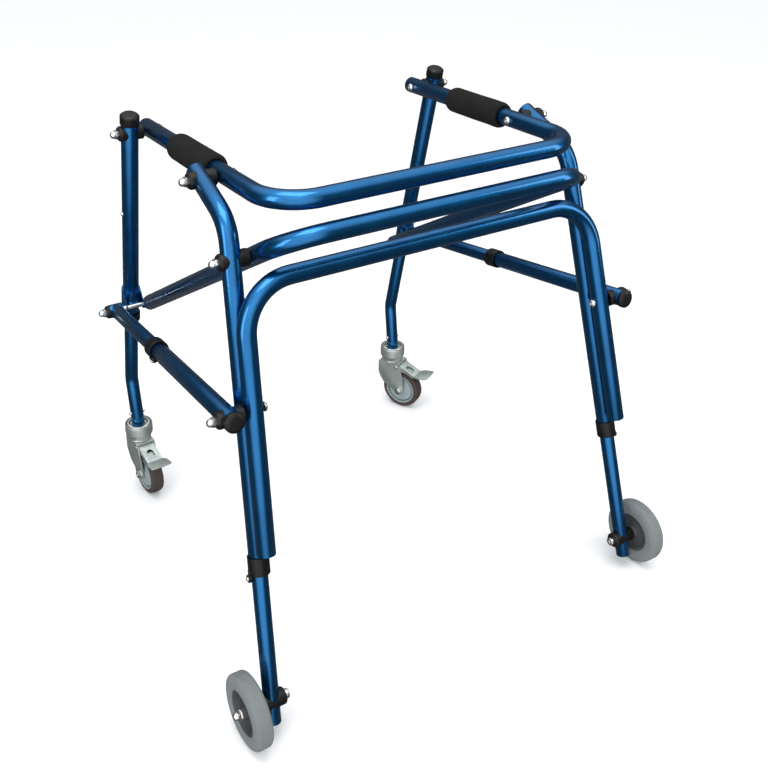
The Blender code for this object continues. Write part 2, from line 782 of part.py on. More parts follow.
def side_profile(name, outline, width):
    """A solid from its side outline, given as (U, Z) in millimetres, and its width across the wheel."""
    upright = Matrix(((1, 0, 0, 0), (0, 0, -1, 0), (0, 1, 0, 0), (0, 0, 0, 1)))
    return plate(name, [(u * MM, z * MM) for u, z in outline], width, ZINC, upright)


def caster_brake(tag, parent):
    """The foot brake: a folded channel over the wheel, with a window, a shoe and a flared tread."""
    outer = 2 * (FORK_INSIDE / 2 - GAP)
    inner = outer - 2 * 1.8 * MM
    fold = [(13, 94.5), (27, 94.5), (58, 80.5)]
    skirt = [(58, 76.6), (54, 75.8), (40, 81), (24, 83), (13, 86)]
    channel = side_profile(f"caster_brake_{tag}", fold + skirt, outer)
    drop = BRAKE_SHEET / MM * 1.1
    under_fold = [(10, 94.5 - drop), (27, 94.5 - drop), (62, 78.7 - drop), (62, 60), (10, 60)]
    slope = math.atan2(-14, 31)
    window = box("window", (-7 * MM, -6 * MM, -6 * MM), (7 * MM, 6 * MM, 6 * MM), ZINC)
    window.data.transform(Matrix.Translation((43 * MM, 0, 87 * MM)) @ Matrix.Rotation(-slope, 4, "Y"))
    shoe = side_profile("shoe", [(38, 88.4), (50, 83.1), (50, 78.3), (38, 82.2)], 17 * MM)
    tread_outline = [(-3, -13), (6, -19), (27, -19), (31, -14), (31, 14), (27, 19), (6, 19), (-3, 13)]
    tilt = Matrix.Translation((57.5 * MM, 0, 79.6 * MM)) @ Matrix.Rotation(math.radians(-12), 4, "Y")
    tread = plate("tread", [(s * MM, y * MM) for s, y in tread_outline], BRAKE_SHEET, ZINC, tilt)
    reach = Vector((0, 20 * MM, 0))
    rivet_hole = bar("rivet_hole", BRAKE_PIVOT - reach, BRAKE_PIVOT + reach, 2.6 * MM, ZINC, 8)
    hollow = side_profile("hollow", under_fold, inner)
    for helper in (hollow, window, shoe, tread, rivet_hole):
        under(parent, helper)
    cut(channel, hollow, window)
    join(channel, shoe, tread)
    cut(channel, rivet_hole)
    set_origin(channel, BRAKE_PIVOT)
    under(parent, channel)


# ---------------------------------------------------------------- braces and pivots


def brace_ends(side):
    rear = on_side(side, BRACE_X_REAR, BRACE_PIVOT)
    front = on_side(side, BRACE_X_FRONT, OPEN_PIVOT)
    return rear, front, (front - rear).normalized()


def brace(side, tag):
    """A telescoping brace: outer tube on the rear pivot, inner rod to the front pivot."""
    rear, front, way = brace_ends(side)
    mouth = rear + way * BRACE_COLLAR_AT
    tail = rear - way * 20 * MM
    tube = bar(f"brace_tube_{tag}", tail, mouth, TUBE_R, BLUE)
    cap = turned(
        "tube_cap",
        [(0, 3 * MM), (9 * MM, 2.5 * MM), (13.6 * MM, 0), (13.6 * MM, -6 * MM), (0, -6 * MM)],
        tail, -way, BLACK,
    )
    join(tube, cap)
    cut(tube, outward_bore(side, BRACE_X_REAR, BRACE_PIVOT), end_bore(mouth, -way, 185 * MM))
    set_origin(tube, rear)
    down = Vector((side * 0.75, 0, -0.66))
    boss_way = (down - way * down.dot(way)).normalized()
    collar(f"brace_collar_{tag}", mouth, -way, 22 * MM, 15.4 * MM, boss_way, -14 * MM)
    snap_button(f"brace_button_{tag}", mouth - way * 14 * MM, boss_way, 17 * MM, 1.6 * MM)
    brace_rod(side, tag, mouth, front, way)


def brace_rod(side, tag, mouth, front, way):
    rod = bar(f"brace_rod_{tag}", mouth - way * TELESCOPE_LAP, front, INNER_R, BLUE)
    out = Vector((side, 0, 0))
    round_end = bar("round_end", front - out * INNER_R, front + out * INNER_R, INNER_R, BLUE)
    washer = bar("washer", front + out * 6 * MM, front + out * 17 * MM, 10.5 * MM, BLACK)
    nut = turned(
        "dome_nut",
        [(0, 12 * MM), (3.5 * MM, 11 * MM), (6 * MM, 8 * MM), (7 * MM, 6 * MM), (7 * MM, -1 * MM), (0, -1 * MM)],
        front + out * 17 * MM, out, STEEL, sides=12,
    )
    join(rod, round_end, washer, nut)
    set_origin(rod, mouth)


def pivot_bolt(name, side, point, outer_x, inner_x, outer_way, origin, play=0.5 * MM):
    """Domed nut, saddle and spacer on the outer tube, with the shank through both tubes."""
    out = Vector((side, 0, 0))
    heart = on_side(side, outer_x, point)
    saddle = bar(name, heart, heart + out * 18 * MM, 11.5 * MM, BLACK)
    inner_face = on_side(side, inner_x + TUBE_R + play, point)
    spacer = bar("spacer", inner_face, heart, 11.5 * MM, BLACK)
    join(saddle, spacer)
    cut(saddle, bar("tube_room", heart - outer_way * 40 * MM, heart + outer_way * 40 * MM, SLEEVE_R, BLACK, 14))
    head = on_side(side, inner_x - TUBE_R - play, point)
    reach = (heart + out * 30 * MM - head).length
    shank = turned(
        "shank",
        [
            (0, reach - 1 * MM),
            (3.5 * MM, reach - 2 * MM),
            (6 * MM, reach - 5 * MM),
            (7 * MM, reach - 7 * MM),
            (7 * MM, reach - 12.5 * MM),
            (BOLT_R, reach - 12.5 * MM),
            (BOLT_R, 0),
            (6.5 * MM, 0),
            (6.5 * MM, -2 * MM),
            (4.5 * MM, -4 * MM),
            (0, -4.6 * MM),
        ],
        head, out, STEEL, sides=8,
    )
    join(saddle, shank)
    set_origin(saddle, origin)


def pivots(side, tag):
    leg_axis = LEG_WAY
    rise = (on_side(side, SPLAY_X, HANDLE_PIVOT) - on_side_tube(side, SIDE_KNEE[1])).normalized()
    upright = (on_side_tube(side, SIDE_KNEE[1]) - on_side_tube(side, SIDE_FOOT_Z)).normalized()
    brace_way = brace_ends(side)[2]
    upright_x = splayed_x(MID_PIVOT[1])
    brace_x = splayed_x(BRACE_PIVOT_Z)
    leg_heart = on_side(side, LEG_X, LEG_PIVOT)
    brace_heart = on_side(side, BRACE_X_REAR, BRACE_PIVOT)
    handle_heart = on_side(side, SPLAY_X, HANDLE_PIVOT)
    mid_heart = on_side(side, upright_x, MID_PIVOT)
    pivot_bolt(f"leg_pivot_{tag}", side, LEG_PIVOT, LEG_X, RAIL_X, leg_axis, leg_heart)
    pivot_bolt(f"handle_pivot_{tag}", side, HANDLE_PIVOT, SPLAY_X, RAIL_X, rise, handle_heart)
    pivot_bolt(f"mid_pivot_{tag}", side, MID_PIVOT, upright_x, MID_RAIL_X, upright, mid_heart)
    pivot_bolt(f"brace_pivot_{tag}", side, BRACE_PIVOT, BRACE_X_REAR, brace_x, brace_way, brace_heart, 1.6 * MM)


def hand_grip(side, tag):
    start = on_side(side, RAIL_X, along(HANDLE_CORNER, HANDLE_FRONT, GRIP_START_Y))
    way = Vector((0, *(HANDLE_FRONT - HANDLE_CORNER))).normalized()
    soft = 5 * MM
    profile = [
        (SLEEVE_R, GRIP_LENGTH),
        (GRIP_R - soft, GRIP_LENGTH),
        (GRIP_R - 1.2 * MM, GRIP_LENGTH - 1.8 * MM),
        (GRIP_R, GRIP_LENGTH - soft),
        (GRIP_R, soft),
        (GRIP_R - 1.2 * MM, 1.8 * MM),
        (GRIP_R - soft, 0),
        (SLEEVE_R, 0),
    ]
    turned(f"hand_grip_{tag}", profile, start, way, FOAM, sides=24, closed=True)


handle_rail()
mid_rail()
lower_frame()
for SIDE, TAG in ((-1, "left"), (1, "right")):
    side_tube(SIDE, TAG)
    rear_extension(SIDE, TAG)
    rear_collar(SIDE, TAG)
    rear_wheel(SIDE, TAG)
    caster_leg(SIDE, TAG)
    caster(SIDE, TAG)
    brace(SIDE, TAG)
    pivots(SIDE, TAG)
    hand_grip(SIDE, TAG)
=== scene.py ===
# %% [markdown]
# # A folding walking frame in blue tube
#
# This lesson dresses the solids of a child's posterior walking frame. The frame opens to the
# front: the user walks inside it, with the crossbars behind. The solids already stand in the
# right place, in metres, with X across the frame, Y from the rear wheels to the casters and Z up.
# They are faceted, so each one is replaced here by a smooth piece with a real finish.

# %% Load the frame
import json
import math
import random

import bmesh
import bpy
from mathutils import Matrix, Vector


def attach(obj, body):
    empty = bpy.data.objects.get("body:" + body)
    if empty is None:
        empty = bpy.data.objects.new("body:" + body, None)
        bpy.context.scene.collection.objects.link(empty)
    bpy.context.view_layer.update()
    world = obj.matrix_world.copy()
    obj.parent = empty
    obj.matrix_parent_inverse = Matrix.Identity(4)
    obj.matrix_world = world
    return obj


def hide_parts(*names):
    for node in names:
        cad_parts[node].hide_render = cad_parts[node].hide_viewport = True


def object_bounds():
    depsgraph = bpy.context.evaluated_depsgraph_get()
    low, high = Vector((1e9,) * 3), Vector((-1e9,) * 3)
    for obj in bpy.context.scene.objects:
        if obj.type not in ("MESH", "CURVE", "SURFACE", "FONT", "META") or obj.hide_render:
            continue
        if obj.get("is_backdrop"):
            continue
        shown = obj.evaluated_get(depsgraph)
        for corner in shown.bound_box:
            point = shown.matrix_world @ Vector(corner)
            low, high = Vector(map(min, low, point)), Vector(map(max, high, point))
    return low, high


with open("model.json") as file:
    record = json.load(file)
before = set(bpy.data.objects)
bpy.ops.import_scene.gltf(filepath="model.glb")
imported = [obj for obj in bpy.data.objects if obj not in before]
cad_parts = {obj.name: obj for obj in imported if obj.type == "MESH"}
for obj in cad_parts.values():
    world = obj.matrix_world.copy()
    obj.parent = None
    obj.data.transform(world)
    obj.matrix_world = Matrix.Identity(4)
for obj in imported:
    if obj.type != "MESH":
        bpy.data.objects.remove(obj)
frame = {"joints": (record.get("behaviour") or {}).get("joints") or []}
CAD_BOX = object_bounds()
JOINTS = {joint["name"]: joint for joint in frame["joints"]}

# %% [markdown]
# ## Camera
#
# The camera stands behind and to the left of the frame, at a little over a metre. Its axes are
# given as vectors, which is the plainest way to set a view that has been worked out: X to the
# right of the picture, Y up it, and Z back towards the eye. The shift moves the picture without
# turning the camera.

# %% Camera
MM = 0.001
EYE = Vector((-0.7488, -1.1391, 1.1506))
AHEAD = Vector((0.4671, 0.7533, -0.4631)).normalized()
RIGHTWARD = Vector((0.8536, -0.5208, 0.0138)).normalized()
UPWARD = RIGHTWARD.cross(AHEAD).normalized()

camera = bpy.data.objects.new("camera", bpy.data.cameras.new("camera"))
bpy.context.scene.collection.objects.link(camera)
camera.matrix_world = Matrix.Translation(EYE) @ Matrix((RIGHTWARD, UPWARD, -AHEAD)).transposed().to_4x4()
camera.data.sensor_width = 36
camera.data.lens = 47.43
camera.data.shift_x = 0.054
camera.data.shift_y = -0.1073
bpy.context.scene.camera = camera
print("camera at", tuple(round(value, 3) for value in camera.location))

# %% [markdown]
# ## Numbers in, nodes out
#
# Finishes and tube shapes are both node trees. Wiring nodes one by one hides the sum that they
# work out, so a small class wraps a socket and overloads the operators: an expression such as
# `1 - mask * 0.5` adds its own Math nodes. Every other node comes from one method.

# %% Sums with sockets
class Flow:
    """One value on its way through a node tree."""

    def __init__(self, maker, socket):
        self.maker = maker
        self.socket = socket

    def sum(self, operation, *values):
        return self.maker.node("ShaderNodeMath", {"operation": operation}, *values)

    def __add__(self, other):
        return self.sum("ADD", self, other)

    def __radd__(self, other):
        return self.sum("ADD", other, self)

    def __sub__(self, other):
        return self.sum("SUBTRACT", self, other)

    def __rsub__(self, other):
        return self.sum("SUBTRACT", other, self)

    def __mul__(self, other):
        return self.sum("MULTIPLY", self, other)

    def __rmul__(self, other):
        return self.sum("MULTIPLY", other, self)


print("operators ready:", ", ".join(name for name in vars(Flow) if name.startswith("__r")))

# %% One method for any node
class Maker:
    """Adds nodes to one tree."""

    def __init__(self, tree):
        self.tree = tree

    def node(self, kind, settings=None, *values, out=0, **named):
        """Add a node: its settings first, then its inputs, by order or by name."""
        made = self.tree.nodes.new(kind)
        for key, value in (settings or {}).items():
            if key == "stops":
                self.set_stops(made.color_ramp, value)
            else:
                setattr(made, key, value)
        for socket, value in zip(made.inputs, values):
            self.feed(socket, value)
        for key, value in named.items():
            self.feed(made.inputs[key.replace("_", " ")], value)
        return Flow(self, made.outputs[out])

    def feed(self, socket, value):
        if isinstance(value, Flow):
            self.tree.links.new(value.socket, socket)
        elif value is not None:
            socket.default_value = value

    def set_stops(self, ramp, stops):
        while len(ramp.elements) < len(stops):
            ramp.elements.new(0.5)
        for element, (place, colour) in zip(ramp.elements, stops):
            element.position = place
            element.color = colour


print("a node takes its settings first, then its inputs")

# %% [markdown]
# ## Finishes
#
# A finish is a Principled shader with patterns behind its colour, roughness and normal. What is
# the same all over the surface is set on the shader's own socket. `Finish` holds the patterns
# that most of the surfaces share: mottle is a soft noise from 0 to 1, and `speck` keeps only its
# peaks, which makes scratches and dust.

# %% The finish class
class Finish(Maker):
    """A material with one Principled shader, and the patterns that the finishes share."""

    def __init__(self, name, metallic=0.0, coat=0.0, coat_roughness=0.1, specular=0.5):
        self.material = bpy.data.materials.new(name)
        self.material.use_nodes = True
        super().__init__(self.material.node_tree)
        self.shader = self.tree.nodes["Principled BSDF"]
        self.shader.inputs["Metallic"].default_value = metallic
        self.shader.inputs["Coat Weight"].default_value = coat
        self.shader.inputs["Coat Roughness"].default_value = coat_roughness
        self.shader.inputs["Specular IOR Level"].default_value = specular
        self.place = self.node("ShaderNodeTexCoord", out="Object")

    def stretched(self, scale, place=None):
        """The place on the surface, scaled by a different amount on each axis."""
        source = place or self.place
        return self.node("ShaderNodeVectorMath", {"operation": "MULTIPLY"}, source, scale)

    def mottle(self, scale, detail=2.0, place=None, roughness=0.5):
        return self.node(
            "ShaderNodeTexNoise", None,
            Vector=place or self.place, Scale=scale, Detail=detail, Roughness=roughness,
        )

    def ramp(self, value, low, high):
        """A value spread from 0 at low to 1 at high."""
        return self.node("ShaderNodeMapRange", None, Value=value, From_Min=low, From_Max=high)

    def mix(self, share, first, second):
        """A colour between two colours."""
        made = self.tree.nodes.new("ShaderNodeMix")
        made.data_type = "RGBA"
        for index, value in ((0, share), (6, first), (7, second)):
            self.feed(made.inputs[index], value)
        return Flow(self, made.outputs[2])

    def bump(self, height, distance, strength=1.0):
        return self.node("ShaderNodeBump", None, Height=height, Distance=distance, Strength=strength)

    def done(self, colour, roughness, normal):
        self.feed(self.shader.inputs["Base Color"], colour)
        self.feed(self.shader.inputs["Roughness"], roughness)
        self.feed(self.shader.inputs["Normal"], normal)
        print("finish", self.material.name, "has", len(self.tree.nodes), "nodes")
        return self.material


# %% [markdown]
# ### Blue tube
#
# The tube is drawn aluminium under a clear blue lacquer. The metal reflects, so it is dark where
# the room is dark, and the lacquer adds a second, sharper reflection. Drawing leaves faint lines
# along the tube. They must follow the bends, so they read an attribute called unrolled, which is
# the place on the tube as if it had been straightened. Handling leaves a few pale scuffs.

# %% Blue lacquer
def blue_lacquer(name, follows_tube):
    blue = Finish(name, metallic=0.95, coat=0.5, coat_roughness=0.05)
    place = blue.place
    if follows_tube:
        place = blue.node("ShaderNodeAttribute", {"attribute_name": "unrolled"}, out="Vector")
    drawn = blue.mottle(1.0, 3.0, blue.stretched((900, 900, 14), place))
    cloud = blue.mottle(26.0, 3.0, place)
    scuff = blue.mottle(1.0, 2.0, blue.stretched((210, 210, 45), place), 0.6)
    worn = blue.ramp(scuff, 0.70, 0.76) * blue.ramp(blue.mottle(9.0, 1.0, place), 0.50, 0.66)
    tint = blue.mix(cloud, (0.002, 0.085, 0.240, 1), (0.004, 0.150, 0.380, 1))
    colour = blue.mix(worn * 0.3, tint, (0.12, 0.22, 0.42, 1))
    roughness = 0.20 + drawn * 0.07 + cloud * 0.06 + worn * 0.2
    return blue.done(colour, roughness, blue.bump(drawn, 0.00003, 0.35))


BLUE_TUBE = blue_lacquer("blue_lacquered_tube", True)
BLUE_STRAP = blue_lacquer("blue_lacquered_strap", False)

# %% [markdown]
# ### Moulded plastics
#
# The caps, collars and saddles are black nylon with a fine spark-eroded grain from the mould.
# The wheel centres are the same sort of plastic in two greys. The grain is a small bump, and the
# roughness wanders a little so that a highlight doesn't look printed.

# %% Plastics
def moulded(name, dark, light, gloss):
    plastic = Finish(name, specular=0.28)
    cloud = plastic.mottle(35.0, 3.0)
    fine = plastic.mottle(1500.0, 2.0)
    dust = plastic.ramp(plastic.mottle(420.0, 2.0), 0.66, 0.74) * 0.12
    colour = plastic.mix(dust, plastic.mix(cloud, dark, light), (0.20, 0.195, 0.18, 1))
    roughness = gloss + cloud * 0.12 + fine * 0.06
    return plastic.done(colour, roughness, plastic.bump(fine, 0.00006, 0.5))


BLACK_NYLON = moulded("black_nylon", (0.003, 0.003, 0.003, 1), (0.007, 0.0066, 0.006, 1), 0.30)
DARK_CENTRE = moulded("dark_wheel_centre", (0.040, 0.044, 0.046, 1), (0.062, 0.066, 0.068, 1), 0.45)
GREY_CENTRE = moulded("grey_caster_centre", (0.21, 0.26, 0.27, 1), (0.28, 0.33, 0.34, 1), 0.36)

# %% [markdown]
# ### Rubber
#
# The tyres are solid rubber. The tread picks up dust and dull patches, and the sides stay
# cleaner. Both come from layers of noise: broad ones for the stains and fine ones for the pores.

# %% Rubber
def rubber(name, dark, light, stain):
    tyre = Finish(name, specular=0.3)
    broad = tyre.mottle(22.0, 4.0)
    streak = tyre.mottle(160.0, 3.0)
    pores = tyre.mottle(2400.0, 2.0)
    soiled = tyre.ramp(broad * 0.6 + streak * 0.4, 0.50, 0.68) * 0.45
    colour = tyre.mix(soiled, tyre.mix(broad, dark, light), stain)
    return tyre.done(colour, 0.58 + streak * 0.22, tyre.bump(pores + streak * 0.5, 0.00008, 0.6))


GREY_RUBBER = rubber(
    "grey_wheel_rubber", (0.130, 0.145, 0.145, 1), (0.185, 0.205, 0.205, 1), (0.11, 0.115, 0.11, 1)
)
BROWN_RUBBER = rubber(
    "brown_caster_rubber", (0.042, 0.030, 0.026, 1), (0.062, 0.046, 0.040, 1), (0.085, 0.07, 0.06, 1)
)

# %% [markdown]
# ### Foam
#
# The hand grips are closed-cell foam. Its cut cells are a Voronoi pattern: round pits about half
# a millimetre across. The skin between them has a painted highlight: paler colour, as if lit.

# %% Foam
foam = Finish("grip_foam", specular=0.15)
cells = foam.node("ShaderNodeTexVoronoi", None, Vector=foam.place, Scale=1300.0)
pits_and_rim_highlight = foam.ramp(cells, 0.05, 0.55)
soft = foam.mottle(60.0, 3.0)
# painted highlight: the rims between the pits are paler in colour, as if light caught them; the same pattern
# also shapes the pits in the bump
foam_colour = foam.mix(pits_and_rim_highlight * 0.5 + soft * 0.5, (0.003, 0.003, 0.0029, 1), (0.014, 0.0135, 0.0125, 1))
FOAM = foam.done(foam_colour, 0.86 + soft * 0.1, foam.bump(pits_and_rim_highlight + soft * 0.8, 0.00022, 0.8))

# %% [markdown]
# ### Plated metals
#
# The casters are pressed steel with bright zinc. Zinc goes blotchy, bluish here and yellowish
# there, and it dulls, so colour and roughness share one slow pattern. The nuts and bolts are
# brighter, with only fine scratches.

# %% Zinc and bright steel
def zinc_plate():
    zinc = Finish("zinc_plate", metallic=0.85)
    slow = zinc.mottle(38.0, 3.0)
    spangle = zinc.mottle(340.0, 3.0)
    colour = zinc.mix(slow, (0.36, 0.43, 0.44, 1), (0.55, 0.57, 0.50, 1))
    dull = zinc.mix(zinc.ramp(spangle, 0.52, 0.70) * 0.4, colour, (0.34, 0.36, 0.36, 1))
    return zinc.done(dull, 0.36 + slow * 0.12 + spangle * 0.12, zinc.bump(spangle, 0.00005, 0.5))


def bright_steel():
    steel = Finish("bright_steel", metallic=1.0)
    scratch = steel.mottle(1.0, 3.0, steel.stretched((2600, 700, 1500)))
    slow = steel.mottle(70.0, 2.0)
    colour = steel.mix(slow, (0.66, 0.66, 0.62, 1), (0.78, 0.78, 0.76, 1))
    return steel.done(colour, 0.16 + slow * 0.08 + scratch * 0.10, steel.bump(scratch, 0.00003, 0.4))


ZINC = zinc_plate()
STEEL = bright_steel()

# %% [markdown]
# ## Placing a piece
#
# A finished piece has its place in its mesh, so its object stays at the origin. `fit` gives a
# mesh its finish, hangs it on a body of the frame and says which plain solids it stands for.

# %% Fit a piece to the frame
def smooth(mesh, angle=32):
    mesh.shade_smooth()
    mesh.set_sharp_from_angle(angle=math.radians(angle))


def fit(name, mesh, body, finish, stands_for=()):
    mesh.materials.clear()
    mesh.materials.append(finish)
    smooth(mesh)
    piece = bpy.data.objects.new(name, mesh)
    bpy.context.scene.collection.objects.link(piece)
    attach(piece, body)
    if stands_for:
        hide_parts(*stands_for)
    print(f"{name}: {len(mesh.polygons)} faces on {body}")
    return piece


# %% [markdown]
# ## Where the tubes run
#
# The pivots are read from the frame's joints. The lines between them are the same few driving
# sizes as the solids have: the rear legs lean out as they go down, and everything else lies in
# planes parallel to the middle of the frame.

# %% Driving sizes
TUBE_R = 12.7 * MM
INNER_R = 11.1 * MM
SLEEVE_R = TUBE_R + 0.6 * MM
RAIL_X = 238 * MM
MID_RAIL_X = 241 * MM
LEG_X = 270.5 * MM
BRACE_X_FRONT = 302 * MM
OPEN_PIVOT = Vector((273.2, 378.3)) * MM
SIDE_KNEE = Vector((-105.9, 666)) * MM
SIDE_DOWN = Vector((-0.281, -0.9597)).normalized()
SIDE_FOOT_Z = 240 * MM
SIDE_TOP_X = 271.3 * MM
SIDE_TOP_Z = 700 * MM
SPLAY = 0.078
LOWER_OFFSET = 2 * TUBE_R + 0.4 * MM
LOWER_CROSSBAR_Z = 601.3 * MM
LOWER_FOOT_Z = 269 * MM
LEG_FOOT_Z = 352 * MM
REAR_END_Z = 21.8 * MM
BRACE_MOUTH = 272 * MM
PLAY = 0.5 * MM
BRACE_PLAY = 1.6 * MM
SIDES = ((-1, "left"), (1, "right"))


def joint_place(name):
    return Vector(JOINTS[name]["pos_m"])


HANDLE_PIVOT = joint_place("handle_fold").yz
LEG_PIVOT = joint_place("leg_hinge_left").yz
MID_PIVOT = joint_place("mid_hinge").yz
BRACE_PIVOT = joint_place("brace_hinge_left").yz
BRACE_X_REAR = abs(joint_place("brace_hinge_left").x)
print("handle pivot at", HANDLE_PIVOT, "brace pivot at", BRACE_PIVOT)


# %% Points on the frame
def splayed_x(z):
    """How far out the rear legs are at a height."""
    return SIDE_TOP_X + SPLAY * (SIDE_TOP_Z - z)


def on_side(side, x, point):
    return Vector((side * x, point[0], point[1]))


def on_side_tube(side, z, behind=0.0):
    across = Vector((SIDE_DOWN[1], -SIDE_DOWN[0])) * behind
    base = SIDE_KNEE + across
    y = base[0] + (z - base[1]) * SIDE_DOWN[0] / SIDE_DOWN[1]
    return Vector((side * splayed_x(z), y, z))


LEG_TOP = Vector((219.8, 710)) * MM
LEG_BEND = Vector((324.2, 213.6)) * MM
LEG_END = Vector((310.2, 126)) * MM
LEG_WAY = Vector((0, *(LEG_BEND - LEG_TOP))).normalized()


def rear_foot(side):
    """The foot of a side tube, the way up it, and the way out that is square to it."""
    foot = on_side_tube(side, SIDE_FOOT_Z)
    up = (on_side_tube(side, SIDE_KNEE[1]) - foot).normalized()
    out = Vector((side, 0, 0))
    return foot, up, (out - up * out.dot(up)).normalized()


def front_leg(side):
    """The top and the foot of a front leg's outer tube."""
    top = on_side(side, LEG_X, LEG_TOP)
    return top, top + LEG_WAY * ((LEG_TOP[1] - LEG_FOOT_Z) / -LEG_WAY.z)


def brace_line(side):
    """The two pivots of a brace, the way along it, its mouth, and the way out of its button."""
    rear = on_side(side, BRACE_X_REAR, BRACE_PIVOT)
    front = on_side(side, BRACE_X_FRONT, OPEN_PIVOT)
    way = (front - rear).normalized()
    down = Vector((side * 0.75, 0, -0.66))
    return rear, front, way, rear + way * BRACE_MOUTH, (down - way * down.dot(way)).normalized()


leg_lean = math.degrees(math.atan2(LEG_WAY.y, -LEG_WAY.z))
print("front legs lean", round(leg_lean, 1), "degrees")

# %% [markdown]
# ## Bent tube by rule
#
# A tube bender turns straight stock round a former, so the path is a few straight runs with a
# circular bend of one radius at each corner. Geometry Nodes follow the same rule: the corners
# come in as a line, Fillet Curve puts the bends in, and Curve to Mesh draws a circle along it.
# The unrolled attribute is stored on the way: the circle's own place gives round the tube, and
# the length along the line gives the third number.

# %% The tube tree
class ShapeTree(Maker):
    """A Geometry Nodes tree with named inputs."""

    def __init__(self, name, inputs):
        super().__init__(bpy.data.node_groups.new(name, "GeometryNodeTree"))
        face = self.tree.interface
        face.new_socket("Geometry", in_out="INPUT", socket_type="NodeSocketGeometry")
        self.inputs = {}
        for label, kind in inputs:
            made = face.new_socket(label, in_out="INPUT", socket_type=kind)
            self.inputs[label] = made.identifier
        face.new_socket("Geometry", in_out="OUTPUT", socket_type="NodeSocketGeometry")
        self.source = self.tree.nodes.new("NodeGroupInput")

    def given(self, label):
        return Flow(self, self.source.outputs[label])

    def finish(self, shape):
        real = self.node("GeometryNodeRealizeInstances", None, shape)
        made = self.node("GeometryNodeSetMaterial", None, real, Material=self.given("Finish"))
        out = self.tree.nodes.new("NodeGroupOutput")
        self.feed(out.inputs[0], made)
        print("tree", self.tree.name, "has", len(self.tree.nodes), "nodes")


def tube_tree():
    tree = ShapeTree("bent_tube", [
        ("Outer radius", "NodeSocketFloat"), ("Bend radius", "NodeSocketFloat"),
        ("Bend steps", "NodeSocketInt"), ("Sides", "NodeSocketInt"), ("Finish", "NodeSocketMaterial"),
    ])
    line = tree.node("GeometryNodeMeshToCurve", None, tree.given("Geometry"))
    bent = tree.node(
        "GeometryNodeFilletCurve", {"mode": "POLY"}, Curve=line, Count=tree.given("Bend steps"),
        Radius=tree.given("Bend radius"),
    )
    length = tree.node("GeometryNodeSplineParameter", out="Length")
    bent = tree.node(
        "GeometryNodeStoreNamedAttribute", {"data_type": "FLOAT"}, Geometry=bent, Name="run", Value=length
    )
    ring = tree.node(
        "GeometryNodeCurvePrimitiveCircle", None, Resolution=tree.given("Sides"),
        Radius=tree.given("Outer radius"),
    )
    ring = tree.node(
        "GeometryNodeStoreNamedAttribute", {"data_type": "FLOAT_VECTOR"}, Geometry=ring, Name="round",
        Value=tree.node("GeometryNodeInputPosition"),
    )
    skin = tree.node("GeometryNodeCurveToMesh", None, bent, ring)
    run = tree.node("GeometryNodeInputNamedAttribute", {"data_type": "FLOAT"}, "run")
    turn = tree.node("GeometryNodeInputNamedAttribute", {"data_type": "FLOAT_VECTOR"}, "round")
    up = tree.node("ShaderNodeCombineXYZ", None, Z=run)
    unrolled = tree.node("ShaderNodeVectorMath", {"operation": "ADD"}, turn, up)
    skin = tree.node(
        "GeometryNodeStoreNamedAttribute", {"data_type": "FLOAT_VECTOR"}, Geometry=skin,
        Name="unrolled", Value=unrolled,
    )
    tree.finish(skin)
    return tree


TUBES = tube_tree()


# %% Run a tree on a line of points
def line_mesh(points):
    mesh = bpy.data.meshes.new("line")
    mesh.from_pydata(points, [(i, i + 1) for i in range(len(points) - 1)], [])
    return mesh


def run_tree(tree, source, sizes, *more):
    """The mesh that a tree makes of a source mesh, with any further modifiers after it."""
    holder = bpy.data.objects.new("holder", source)
    bpy.context.scene.collection.objects.link(holder)
    modifier = holder.modifiers.new("shape", "NODES")
    modifier.node_group = tree.tree
    for label, value in sizes.items():
        modifier[tree.inputs[label]] = value
    for kind, settings in more:
        extra = holder.modifiers.new(kind.lower(), kind)
        for key, value in settings.items():
            setattr(extra, key, value)
    bpy.context.view_layer.update()
    made = bpy.data.meshes.new_from_object(holder.evaluated_get(bpy.context.evaluated_depsgraph_get()))
    bpy.data.objects.remove(holder, do_unlink=True)
    return made


def tube(name, corners, body, outer=TUBE_R, bend=60 * MM, wall=1.0 * MM, stands_for=None):
    """An open tube through the corners, with its wall and eased ends."""
    sizes = {"Outer radius": outer, "Bend radius": bend, "Bend steps": 14, "Sides": 48, "Finish": BLUE_TUBE}
    wall_settings = {"thickness": wall, "offset": -1}
    ease = {"width": 0.25 * MM, "segments": 2, "limit_method": "ANGLE", "angle_limit": math.radians(50)}
    mesh = run_tree(TUBES, line_mesh(corners), sizes, ("SOLIDIFY", wall_settings), ("BEVEL", ease))
    return fit(name, mesh, body, BLUE_TUBE, stands_for or (name.replace("_look", ""),))


# %% [markdown]
# ### The three rails behind the user
#
# The handle rail is level and carries the grips. The mid rail slopes down to the front pivots.
# The lower frame is an arch whose legs lie along the backs of the side tubes. Each is one length
# of tube with two bends, so four corners say all of it.

# %% Rails
def u_corners(x_rear, rear, x_front, front):
    return [
        on_side(-1, x_front, front), on_side(-1, x_rear, rear),
        on_side(1, x_rear, rear), on_side(1, x_front, front),
    ]


